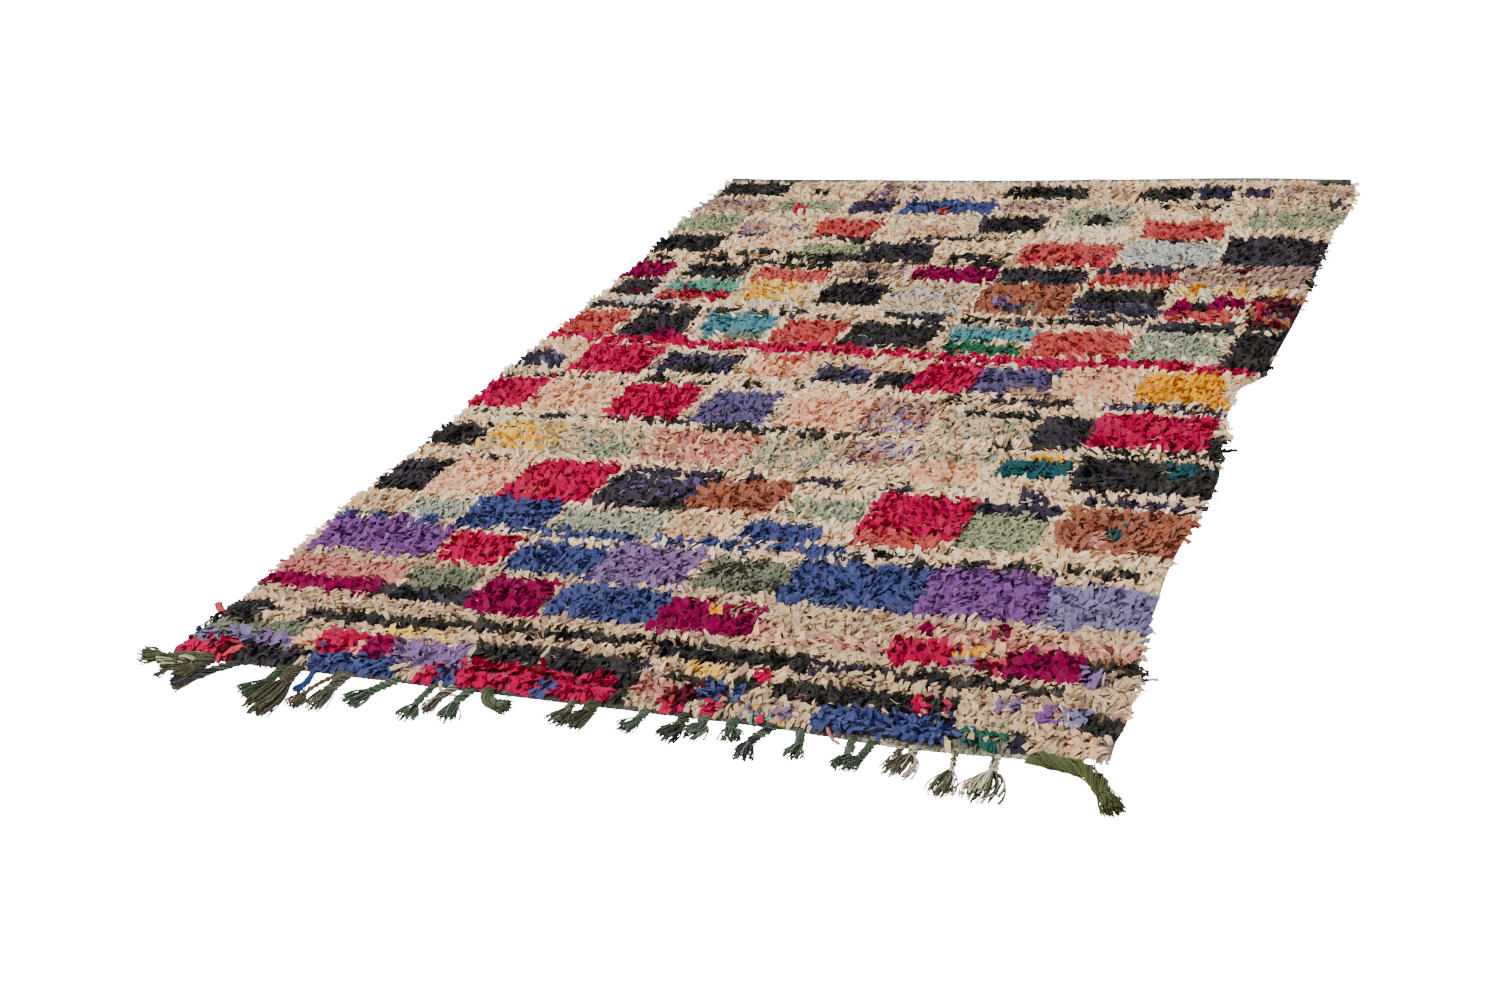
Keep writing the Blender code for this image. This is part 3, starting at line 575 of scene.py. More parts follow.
class PileSizes(bpy.types.PropertyGroup):
    """Sizes of the tufts."""

    pitch_across: bpy.props.FloatProperty(
        name="Pitch across", description="From tuft to tuft across the rug",
        default=0.0050, min=0.004, max=0.03, unit="LENGTH")
    pitch_along: bpy.props.FloatProperty(
        name="Pitch along", description="From row to row of tufts",
        default=0.0081, min=0.006, max=0.03, unit="LENGTH")
    strip_width: bpy.props.FloatProperty(
        name="Strip width", description="Usual width of a rag strip",
        default=0.0083, min=0.003, max=0.02, unit="LENGTH")
    strip_length: bpy.props.FloatProperty(
        name="Strip length", description="Usual length of a rag strip above the ground",
        default=0.0265, min=0.015, max=0.06, unit="LENGTH")
    lean: bpy.props.FloatProperty(
        name="Lean", description="How far the tufts lean at their roots",
        default=math.radians(18), min=0.0, max=math.radians(80), unit="ROTATION")
    curl: bpy.props.FloatProperty(
        name="Curl", description="How much further a strip bends over towards its tip",
        default=math.radians(70), min=0.0, max=math.radians(150), unit="ROTATION")
    seed: bpy.props.IntProperty(
        name="Seed", description="Seed of the tufts' random draws", default=7)


def rag_properties():
    """One colour property for each rag."""
    return {
        name: bpy.props.FloatVectorProperty(
            name=name.replace("_", " ").capitalize(),
            description="Colour of the " + name.replace("_", " ") + " rags",
            default=linear(rag.colour), min=0.0, max=1.0, size=3, subtype="COLOR")
        for name, rag in RAGS.items()
    }


RagColours = type(
    "RagColours", (bpy.types.PropertyGroup,),
    {"__doc__": "Colours of the rags.", "__annotations__": rag_properties()},
)


class FringeSizes(bpy.types.PropertyGroup):
    """Sizes of the tassels' yarns."""

    yarn: bpy.props.FloatProperty(
        name="Yarn", description="Thickness of one wool yarn",
        default=0.0021, min=0.001, max=0.006, unit="LENGTH")
    plump: bpy.props.FloatProperty(
        name="Plumpness", description="Thickness of the necks and brushes against the table of tassels",
        default=1.5, min=0.5, max=2.0)
    fullness: bpy.props.FloatProperty(
        name="Fullness", description="Number of yarns against what fills the necks",
        default=1.25, min=0.3, max=2.0)
    seed: bpy.props.IntProperty(
        name="Seed", description="Seed of the tassels' random draws", default=11)


class StageSettings(bpy.types.PropertyGroup):
    """Floor, lights and camera."""

    floor_colour: bpy.props.FloatVectorProperty(
        name="Floor", description="Colour of the floor",
        default=(0.86, 0.86, 0.86), min=0.0, max=1.0, size=3, subtype="COLOR")
    key_power: bpy.props.FloatProperty(
        name="Key light", description="Power of the large soft light",
        default=215.0, min=0.0, unit="POWER")
    fill_power: bpy.props.FloatProperty(
        name="Fill light", description="Power of the weaker light from the other side",
        default=70.0, min=0.0, unit="POWER")
    sky_strength: bpy.props.FloatProperty(
        name="Sky", description="Strength of the even light all round", default=0.80, min=0.0)
    backdrop_glow: bpy.props.FloatProperty(
        name="Backdrop glow", description="How much brighter the floor looks to the camera",
        default=16.0, min=0.0)
    lens: bpy.props.FloatProperty(
        name="Lens", description="Focal length on a 36 mm sensor",
        default=48.47, min=10.0, max=200.0, unit="CAMERA")


def add_mesh(name, points, corners, sizes, material, smooth=True):
    """One mesh object from arrays: points, the corners of all faces in a row, and each
    face's number of corners."""
    mesh = bpy.data.meshes.new(name)
    mesh.vertices.add(len(points))
    mesh.vertices.foreach_set("co", np.ascontiguousarray(points, np.float32).ravel())
    mesh.loops.add(len(corners))
    mesh.loops.foreach_set("vertex_index", np.ascontiguousarray(corners, np.int32))
    starts = np.concatenate([[0], np.cumsum(sizes)[:-1]])
    mesh.polygons.add(len(sizes))
    mesh.polygons.foreach_set("loop_start", starts.astype(np.int32))
    mesh.polygons.foreach_set("use_smooth", np.full(len(sizes), smooth))
    mesh.update(calc_edges=True)
    mesh.validate()
    mesh.materials.append(material)
    piece = bpy.data.objects.new(name, mesh)
    bpy.context.scene.collection.objects.link(piece)
    return piece


def add_values(piece, **values):
    """Number attributes on the points, for the materials."""
    for name, numbers in values.items():
        attribute = piece.data.attributes.new(name, "FLOAT", "POINT")
        attribute.data.foreach_set("value", np.ascontiguousarray(numbers, np.float32).ravel())


def finish_piece(piece, node):
    """Rides on the rug's one body and stands for its CAD node."""
    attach(piece, BODY)
    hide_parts(node)
    return piece


def cad_points(node):
    """The points of a CAD node as an array, in weave coordinates."""
    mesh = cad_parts[node].data
    points = np.zeros(len(mesh.vertices) * 3)
    mesh.vertices.foreach_get("co", points)
    points = points.reshape(-1, 3)
    points[:, 1] -= WEAVE_Y
    return points


def rug_outline():
    """The ground cloth's edges, read from the underside of the CAD rug: x of both sides
    by y, and y of both ends by x."""
    points = cad_points(PILE_NODE)
    foot = points[points[:, 2] < UNDERSIDE]
    x, y = foot[:, 0], foot[:, 1]
    half = (x.max() - x.min()) / 2
    length = y.max()
    inner = (y > CORNER_CLEAR) & (y < length - CORNER_CLEAR)
    sides = {}
    for name, keep, by, of in (
        ("left", inner & (x < 0), 1, 0),
        ("right", inner & (x > 0), 1, 0),
        ("near", (y < NEAR_BAND) & (np.abs(x) < half - NEAR_CLEAR), 0, 1),
        ("far", (y > length - FAR_BAND) & (np.abs(x) < half - FAR_CLEAR), 0, 1),
    ):
        rows = foot[keep]
        rows = rows[np.argsort(rows[:, by])]
        sides[name] = (rows[:, by], rows[:, of])
    return sides


OUTLINE = rug_outline()


def edge(side, at):
    """Where a side of the cloth lies, with the near corners spread a little."""
    reach, span = SPREAD.get(side, (0.0, 1.0))
    return np.interp(at, *OUTLINE[side]) + reach * np.clip(1 - np.asarray(at) / span, 0, 1)


def cloth_place(across, along):
    """Shares of the rug, 0 to 1 across and along, as weave coordinates."""
    level = OUTLINE["left"][0].max() * along
    x = edge("left", level) + (edge("right", level) - edge("left", level)) * across
    y = edge("near", x) + (edge("far", x) - edge("near", x)) * along
    return x, y


def even_ranks(values):
    """Values from 0 to 1 in the same order, evenly spread."""
    ranks = np.empty(len(values))
    ranks[np.argsort(values)] = (np.arange(len(values)) + 0.5) / len(values)
    return ranks


def chart_rags(x, y, random_source, jitter=BORDER_JITTER):
    """The rag of each tuft that shows at x, y, as an index into RAGS."""
    names = list(RAGS)
    chart_x = (x + CHART_SHIFT) / CM + random_source.normal(0, jitter, len(x))
    chart_y = y / CM + random_source.normal(0, 0.6 * jitter, len(x))
    chart_x += BORDER_WANDER * smooth_field(x, y, *BORDER_WAVE)
    folded = chart_y < FOLDED_TO
    stretch = (FOLDED_TO - FOLDED_LOW) / (FOLDED_TO - FOLDED_FROM)
    chart_y = np.where(folded, FOLDED_TO - (FOLDED_TO - chart_y) * stretch, chart_y)
    chart_y = np.maximum(chart_y, FOLDED_LOW + 0.1)
    clump = smooth_field(x, y, *CLUMP_WAVE) + random_source.normal(0, CLUMP_LOOSE, len(x))
    broken = even_ranks(clump)
    kinds = np.full(len(x), "ground", dtype=object)
    for course in COURSES:
        for block in course.blocks:
            colour, left, right, low, high, share = (
                *block, *(course.low, course.high, 1.0)[len(block) - 3:])
            if high - low < THIN:
                low, high = low - SWELL, high + SWELL
            inside = (chart_x > left) & (chart_x < right) & (chart_y > low) & (chart_y < high)
            kinds[inside & (broken < share + FILL)] = colour
    mixed = smooth_field(x, y, *MIX_WAVE) + random_source.normal(0, MIX_LOOSE, len(x))
    pick = even_ranks(mixed)
    rags = np.zeros(len(x), int)
    for kind in sorted(set(kinds)):
        members = kinds == kind
        shares = MIXES.get(kind, ((kind, 1.0),))
        edges = np.cumsum([share for _, share in shares])
        chosen = np.searchsorted(edges, pick[members] * edges[-1])
        rags[members] = [names.index(shares[i][0]) for i in chosen]
    return rags


def tuft_roots(sizes, random_source):
    """Roots of the tufts in rows, a little out of line, and each tuft's row."""
    columns = int(round(CLOTH_WIDTH / sizes.pitch_across))
    rows = int(round(CLOTH_LENGTH / sizes.pitch_along))
    across, along = np.meshgrid(
        (np.arange(columns) + 0.5) / columns, (np.arange(rows) + 0.5) / rows)
    row = np.repeat(np.arange(rows), columns)
    across = across.ravel() + random_source.normal(0, STRAY_ACROSS / columns, across.size)
    along = along.ravel() + random_source.normal(0, STRAY_ALONG / rows, along.size)
    x, y = cloth_place(np.clip(across, *TUFTS_ACROSS), np.clip(along, *TUFTS_ALONG))
    return x, y, row


def smooth_field(x, y, span, layer):
    """Smooth noise from -1 to 1 over the rug, read on a coarse grid of points."""
    grid_x = np.arange(*FIELD_X, span / 3)
    grid_y = np.arange(*FIELD_Y, span / 3)
    field = np.array([
        [noise.noise(Vector((gx / span, gy / span, layer))) for gx in grid_x] for gy in grid_y])
    at_x = (x - grid_x[0]) / (grid_x[1] - grid_x[0])
    at_y = (y - grid_y[0]) / (grid_y[1] - grid_y[0])
    i = np.clip(at_x.astype(int), 0, len(grid_x) - 2)
    j = np.clip(at_y.astype(int), 0, len(grid_y) - 2)
    u, v = at_x - i, at_y - j
    lower = field[j, i] * (1 - u) + field[j, i + 1] * u
    upper = field[j + 1, i] * (1 - u) + field[j + 1, i + 1] * u
    return lower * (1 - v) + upper * v


def rim_pull(x, y):
    """How strongly a tuft is drawn over each side, 0 inside to 1 at the edge."""
    gaps = (x - edge("left", y), edge("right", y) - x, y - edge("near", x), edge("far", x) - y)
    return [np.clip(1 - gap / RIM_DEPTH, 0, 1) for gap in gaps]


def tuft_lies(x, y, row, sizes, random_source):
    """How each tuft lies: its length, its lean at the root and the way it points. The two
    ends of a knotted rag fan out to both sides of their row."""
    count = len(x)
    left, right, near, far = rim_pull(x, y)
    middle, span = BARE_HEM
    bare_hem = np.exp(-((x - middle) / span) ** 4)
    near = near * (1 - 0.75 * bare_hem)
    length = sizes.strip_length * random_source.uniform(*LENGTH_RANGE, count)
    length *= 1 + 0.18 * smooth_field(x, y, *LENGTH_WAVE)
    lean = sizes.lean + random_source.normal(0, LEAN_SPREAD, count)
    droop = np.maximum.reduce([0.45 * left, 0.45 * right, near * 1.7, far])
    covered = 1 / (1 + np.exp((x - HEM_SHOWS_FROM) / HEM_SHOWS_SOFT))
    length *= 1 + (0.42 * covered - 0.12) * near - 0.15 * (left + right) - 0.5 * far
    lean = lean + droop * RIM_LEAN
    end = (row + (random_source.random(count) < TURNED_SHARE)) % 2
    fan = np.where(end, *FAN)
    toward_x = 1.1 * smooth_field(x, y, *SIDE_WAVE) + 0.9 * smooth_field(x, y, *DRIFT_WAVE)
    toward_y = 0.7 * smooth_field(x, y, *ROW_WAVE) + fan
    toward_x += random_source.normal(0, HEADING_LOOSE[0], count) + 0.15 * (right - left)
    toward_y += random_source.normal(0, HEADING_LOOSE[1], count) - 1.4 * far - 2.2 * near
    return length, lean, np.arctan2(toward_y, toward_x)


def strip_points(x, y, lies, rags, sizes, random_source):
    """The points of every strip, as an array of strips, points and xyz."""
    count = len(x)
    length, lean, azimuth = lies
    cut = np.array([(rag.width, rag.curl) for rag in RAGS.values()])[rags]
    curl = sizes.curl * cut[:, 1] + random_source.normal(0, CURL_SPREAD, count)
    width = sizes.strip_width * cut[:, 0] * random_source.uniform(*WIDTH_RANGE, count)
    centre = np.stack([x, y, np.full(count, ROOT_HEIGHT)], -1)
    roll = random_source.normal(0, ROLL_SPREAD, count)
    roll += np.where(random_source.random(count) < 0.5, math.pi, 0.0)
    twist = random_source.normal(0, TWIST_SPREAD, count)
    found = {}
    for ring, share in enumerate(STRIP_AT):
        tilt = lean + curl * share ** 2
        heading = azimuth + random_source.normal(0, SWERVE_SPREAD, count) * share
        tangent = np.stack([
            np.sin(tilt) * np.cos(heading), np.sin(tilt) * np.sin(heading), np.cos(tilt)], -1)
        if ring:
            centre = centre + tangent * (length * (share - STRIP_AT[ring - 1]))[:, None]
            centre[:, 2] = np.clip(centre[:, 2], LOWEST_MIDDLE, PILE_LIMIT)
        side = np.stack([-np.sin(heading), np.cos(heading), np.zeros(count)], -1)
        normal = np.cross(side, tangent)
        turn = roll + twist * share
        flank = side * np.cos(turn)[:, None] + normal * np.sin(turn)[:, None]
        crease = np.cross(flank, tangent)
        half = (width * STRIP_WIDTHS[ring] * random_source.uniform(0.8, 1.2, count) / 2)[:, None]
        fold = (width * STRIP_CREASE[ring] * random_source.uniform(0.5, 1.5, count))[:, None]
        slant = random_source.normal(0, RAGGED * share ** 2, count)[:, None]
        ragged = tangent * (slant * half)
        crumple = np.abs(random_source.normal(0, CRUMPLE, (2, count, 1))) * half * share
        found[ring, LEFT] = centre - flank * half - ragged - crease * crumple[0]
        found[ring, RIGHT] = centre + flank * half + ragged - crease * crumple[1]
        found[ring, RIDGE] = centre + crease * fold
    points = np.stack([found[point] for point in STRIP_POINTS], axis=1)
    points[..., 2] = np.clip(points[..., 2], LOWEST_EDGE, PILE_LIMIT + 0.001)
    return points


def strip_faces(count):
    """Corners and sizes of the faces of count strips."""
    corners = np.concatenate([np.array(face) for face in STRIP_CORNERS])
    sizes = [len(face) for face in STRIP_CORNERS]
    offsets = np.arange(count)[:, None] * len(STRIP_POINTS)
    return (corners[None] + offsets).ravel(), np.tile(sizes, count)


def new_group(name, inputs, outputs):
    """An empty shader node group with named sockets. inputs are (name, kind, default)."""
    group = bpy.data.node_groups.new(name, "ShaderNodeTree")
    for label, kind, default in inputs:
        socket = group.interface.new_socket(label, in_out="INPUT", socket_type="NodeSocket" + kind)
        socket.default_value = default
    for label, kind in outputs:
        group.interface.new_socket(label, in_out="OUTPUT", socket_type="NodeSocket" + kind)
    return group, group.nodes.new("NodeGroupInput"), group.nodes.new("NodeGroupOutput")


def add_node(tree, kind, settings=(), **inputs):
    """A node with its settings, and its inputs given by name or as i and their number, as
    values or sockets."""
    made = tree.nodes.new("ShaderNode" + kind)
    for name, value in dict(settings).items():
        setattr(made, name, value)
    for name, value in inputs.items():
        key = int(name[1:]) if name[1:].isdigit() else name.replace("_", " ")
        socket = made.inputs[key]
        if isinstance(value, bpy.types.NodeSocket):
            tree.links.new(value, socket)
        else:
            socket.default_value = value
    return made


def maths(tree, operation, first, second):
    """The result of one sum on values or sockets."""
    return add_node(tree, "Math", {"operation": operation}, i0=first, i1=second).outputs[0]


def spread_to(tree, value, low, high):
    """A value from 0 to 1 spread to low to high."""
    return add_node(tree, "MapRange", Value=value, To_Min=low, To_Max=high).outputs["Result"]


def worn_rag_painted_shade_group():
    """Rag cloth: each strip's own tint, faded patches, dusty tips and dark roots."""
    tree, given, result = new_group(
        "Worn rag",
        (("Colour", "Color", (0.5, 0.5, 0.5, 1)), ("Tint", "Float", 0.5), ("Along", "Float", 0.5),
         ("Across", "Float", 0.5), ("Variety", "Float", 1.0), ("Fading", "Float", 0.3)),
        (("Colour", "Color"), ("Crease", "Float")),
    )
    place_in = tree.nodes.new("ShaderNodeTexCoord").outputs["Object"]
    tint, along, variety = (given.outputs[name] for name in ("Tint", "Along", "Variety"))
    second = maths(tree, "FRACT", maths(tree, "MULTIPLY", tint, 7.31), 0.0)
    third = maths(tree, "FRACT", maths(tree, "MULTIPLY", tint, 17.77), 0.0)

    def swing(value, reach, middle):
        """A value from 0 to 1 as a swing round a middle, by the rag's variety."""
        swung = maths(tree, "MULTIPLY", spread_to(tree, value, -reach, reach), variety)
        return maths(tree, "ADD", swung, middle)

    tinted = add_node(
        tree, "HueSaturation", Hue=swing(second, 0.014, 0.5), Saturation=swing(third, 0.16, 1.0),
        Value=swing(tint, 0.24, 1.0), Color=given.outputs["Colour"])
    patches = add_node(tree, "TexNoise", Vector=place_in, Scale=34.0, Detail=3.0, Roughness=0.6)
    patchy = spread_to(tree, patches.outputs["Fac"], -0.5, 1.1)
    fade = maths(tree, "MULTIPLY", patchy, given.outputs["Fading"])
    faded = add_node(
        tree, "Mix", {"data_type": "RGBA"}, i0=fade, i6=tinted.outputs["Color"], i7=FADED_CLOTH)
    # Painted shade: the colour darkens to 0.62 at the strip's root and comes to full at its middle,
    # standing for the shade deep in the pile.
    root = add_node(
        tree, "MapRange", {"interpolation_type": "SMOOTHSTEP"},
        Value=along, From_Max=0.5, To_Min=0.62, To_Max=1.0)
    shaded = add_node(tree, "HueSaturation", Value=root.outputs["Result"], Color=faded.outputs[2])
    thread = add_node(tree, "TexNoise", Vector=place_in, Scale=620.0, Detail=2.0, Roughness=0.7)
    strip_at = add_node(
        tree, "CombineXYZ", X=maths(tree, "MULTIPLY", given.outputs["Across"], 3.0), Y=along,
        Z=maths(tree, "MULTIPLY", tint, 90.0))
    folds = add_node(tree, "TexNoise", Vector=strip_at.outputs["Vector"], Scale=1.6, Detail=2.0)
    woven = maths(tree, "MULTIPLY", thread.outputs["Fac"], 0.35)
    crease = maths(tree, "ADD", folds.outputs["Fac"], woven)
    tree.links.new(shaded.outputs["Color"], result.inputs["Colour"])
    tree.links.new(crease, result.inputs["Crease"])
    return tree


def group_named(name, maker):
    """The node group of that name, made the first time that it is needed."""
    return bpy.data.node_groups.get(name) or maker()


def read_attribute(tree, name, output="Fac"):
    """What a mesh stores at its points under a name."""
    return add_node(tree, "Attribute", {"attribute_name": name}).outputs[output]


def new_material(name):
    """A new material with its tree of nodes and its main shader."""
    material = bpy.data.materials.new(name)
    material.use_nodes = True
    tree = material.node_tree
    return material, tree, tree.nodes["Principled BSDF"]


def dress_shader(tree, shader, colour, relief, bump, **values):
    """Colour, relief and further values of a cloth's main shader. bump is the strength and
    the depth of the relief."""
    tree.links.new(colour, shader.inputs["Base Color"])
    strength, depth = bump
    raised = add_node(tree, "Bump", Strength=strength, Distance=depth, Height=relief)
    tree.links.new(raised.outputs["Normal"], shader.inputs["Normal"])
    for name, value in values.items():
        shader.inputs[name.replace("_", " ")].default_value = value


def rag_material(name, colour, variety=0.6, fading=0.2, sheen=0.02):
    """Matt worn cloth of one colour. Vivid rags vary, fade and shine less."""
    wear = min(colour) / max(colour)
    material, tree, shader = new_material("rag_" + name)
    rag = tree.nodes.new("ShaderNodeGroup")
    rag.node_tree = group_named("Worn rag", worn_rag_painted_shade_group)
    rag.inputs["Colour"].default_value = (*colour, 1.0)
    rag.inputs["Variety"].default_value = variety * (0.6 + 0.4 * wear)
    rag.inputs["Fading"].default_value = fading * wear
    for label in ("Tint", "Along", "Across"):
        tree.links.new(read_attribute(tree, label.lower()), rag.inputs[label])
    dress_shader(
        tree, shader, rag.outputs["Colour"], rag.outputs["Crease"], (0.6, 0.0012),
        Roughness=0.92, Specular_IOR_Level=0.02, Sheen_Weight=sheen * wear, Sheen_Roughness=0.55)
    return material


class RUG_OT_rag_pile(bpy.types.Operator):
    """Knot the rag pile: one mesh of strips for each rag, the largest in several"""

    bl_idname = "rug.rag_pile"
    bl_label = "Rag pile"

    def execute(self, context):
        sizes = context.scene.rug_pile
        colours = context.scene.rug_rags
        random_source = np.random.default_rng(sizes.seed)
        x, y, row = tuft_roots(sizes, random_source)
        lies = tuft_lies(x, y, row, sizes, random_source)
        length, _, azimuth = lies
        shown_x = x + SHOWN * length * np.cos(azimuth)
        shown_y = y + SHOWN * length * np.sin(azimuth)
        rags = chart_rags(shown_x, shown_y, random_source)
        points = strip_points(x, y, lies, rags, sizes, random_source)
        tint = random_source.random(len(x))
        along = np.array([STRIP_AT[ring] for ring, _ in STRIP_POINTS])
        across = np.array([at for _, at in STRIP_POINTS])
        most = MOST_FACES // STRIP_TRIANGLES
        for number, name in enumerate(RAGS):
            members = np.flatnonzero(rags == number)
            if not len(members):
                continue
            material = rag_material(name, getattr(colours, name))
            bundles = np.array_split(members, math.ceil(len(members) / most))
            for order, bundle in enumerate(bundles, start=1):
                label = f"rags_{name}" if len(bundles) == 1 else f"rags_{name}_{order}"
                corners, counts = strip_faces(len(bundle))
                own = place(*np.moveaxis(points[bundle], -1, 0))
                piece = add_mesh(label, own.reshape(-1, 3), corners, counts, material, smooth=False)
                add_values(
                    piece, along=np.tile(along, len(bundle)), across=np.tile(across, len(bundle)),
                    tint=np.repeat(tint[bundle], len(STRIP_POINTS)))
                finish_piece(piece, PILE_NODE)
        return {"FINISHED"}


def add_slab(name, low, high, columns, material, attribute, colours):
    """A closed slab from the points of its underside and of its top, which lie in rows of
    so many columns, and an attribute with a colour for each of them."""
    total = len(low)
    index = np.arange(total).reshape(-1, columns)
    quads = np.stack([index[:-1, :-1], index[:-1, 1:], index[1:, 1:], index[1:, :-1]], -1)
    quads = quads.reshape(-1, 4)
    rim = np.concatenate([index[0, :-1], index[:-1, -1], index[-1, :0:-1], index[:0:-1, 0]])
    after = np.roll(rim, -1)
    walls = np.stack([rim, after, after + total, rim + total], -1)
    faces = np.concatenate([quads[:, ::-1], quads + total, walls])
    points = np.concatenate([low, high])
    piece = add_mesh(name, points, faces.ravel(), np.full(len(faces), 4), material)
    stored = piece.data.attributes.new(attribute, "FLOAT_COLOR", "POINT")
    stored.data.foreach_set("color", np.tile(colours, (2, 1)).astype(np.float32).ravel())
    return piece


def ground_material():
    """Ribbed ground weave in the colours of the tufts' backs."""
    material, tree, shader = new_material("woven_ground")
    knots = read_attribute(tree, "knots", "Color")
    place_in = tree.nodes.new("ShaderNodeTexCoord").outputs["Object"]
    ribs = add_node(
        tree, "TexWave", {"bands_direction": "Y"}, Vector=place_in, Scale=95.0,
        Distortion=0.6).outputs["Fac"]
    # Painted shade: the value falls to 0.6 in the ribs' grooves and rises to 0.9 on their crests, the same
    # ribs that give the bump.
    shade = add_node(
        tree, "HueSaturation", Color=knots, Saturation=0.8, Value=spread_to(tree, ribs, 0.6, 0.9))
    dress_shader(tree, shader, shade.outputs["Color"], ribs, (0.6, 0.001), Roughness=0.95)
    return material


class RUG_OT_ground_cloth(bpy.types.Operator):
    """Weave the ground cloth, with the backs of the tufts on its underside"""

    bl_idname = "rug.ground_cloth"
    bl_label = "Ground cloth"

    def execute(self, context):
        sizes = context.scene.rug_weave
        colours = context.scene.rug_rags
        random_source = np.random.default_rng(GROUND_SEED)
        across, along = np.meshgrid(
            np.linspace(0, 1, GROUND_COLUMNS), np.linspace(0, 1, GROUND_ROWS))
        x, y = cloth_place(across.ravel(), along.ravel())
        from_far = edge("far", x) - y
        lift = sizes.far_lip * np.clip(1 - from_far / LIP_DEPTH, 0, 1) ** LIP_ROUND
        thick = sizes.ground * np.clip(0.7 + from_far / THINNING, 0, 1)
        inner = 1 - np.maximum.reduce(rim_pull(x, y)) ** 2
        knots = sizes.knots * inner * random_source.uniform(0.55, 1.25, len(x))
        rags = chart_rags(x, y, random_source, BACK_JITTER)
        backs = np.array([[*getattr(colours, name), 1.0] for name in RAGS])[rags]
        backs[from_far < FAR_HEM] = (*linear(FAR_HEM_COLOUR), 1.0)
        piece = add_slab(
            "ground_cloth", place(x, y, lift), place(x, y, lift + thick + knots),
            GROUND_COLUMNS, ground_material(), "knots", backs)
        finish_piece(piece, PILE_NODE)
        return {"FINISHED"}


def unit(vectors):
    """Vectors brought to a length of 1."""
    return vectors / np.maximum(np.linalg.norm(vectors, axis=-1, keepdims=True), 1e-9)


def along_way(way, shares):
    """Points at shares of a smooth way through given points (Catmull-Rom)."""
    way = np.asarray(way, float)
    steps = np.concatenate([[0], np.cumsum(np.linalg.norm(np.diff(way, axis=0), axis=1))])
    padded = np.vstack([2 * way[0] - way[1], way, 2 * way[-1] - way[-2]])
    at = np.interp(shares, steps / steps[-1], np.arange(len(way)))
    i = np.clip(at.astype(int), 0, len(way) - 2)
    t = (at - i)[:, None]
    a, b, c, d = (padded[i + k] for k in range(4))
    bend = (2 * a - 5 * b + 4 * c - d) * t ** 2
    return 0.5 * (2 * b + (c - a) * t + bend + (3 * b - a - 3 * c + d) * t ** 3)


def tubes(paths, wide, high, axis, sides=3):
    """Tubes of a few sides round paths (count, rings, 3): their points, faces, and for
    each point the cosine and sine round the tube and the way along it."""
    count, rings = paths.shape[:2]
    tangent = unit(np.gradient(paths, axis=1))
    side = unit(np.cross(tangent, axis))
    normal = np.cross(side, tangent)
    wide, high = wide[..., None], high[..., None]
    angles = np.arange(sides) * 2 * math.pi / sides
    points = np.stack([
        paths + side * wide * math.cos(angle) + normal * high * math.sin(angle)
        for angle in angles], axis=2)
    corners, sizes = [], []
    for ring in range(rings - 1):
        for i in range(sides):
            j = (i + 1) % sides
            base = ring * sides
            corners += [base + j, base + i, base + sides + i, base + sides + j]
            sizes.append(4)
    last = (rings - 1) * sides
    corners += [*range(sides), *range(last + sides - 1, last - 1, -1)]
    sizes += [sides, sides]
    offsets = np.arange(count)[:, None] * rings * sides
    faces = (np.array(corners)[None] + offsets).ravel()
    way = np.concatenate([
        np.zeros((count, 1)), np.cumsum(np.linalg.norm(np.diff(paths, axis=1), axis=2), axis=1)], axis=1)
    turn = np.stack([np.cos(angles), np.sin(angles)], -1)
    yarn = np.concatenate([
        np.broadcast_to(turn, (count, rings, sides, 2)),
        np.broadcast_to(way[..., None, None], (count, rings, sides, 1))], axis=-1)
    return points.reshape(-1, 3), faces, np.tile(sizes, count), yarn.reshape(-1, 3)


def hem_line(x):
    """The hem's outer edge, which bellies out a little where the hem lies bare."""
    reach, middle, span = HEM_BOWL
    return -reach * np.exp(-((x - middle) / span) ** 2)


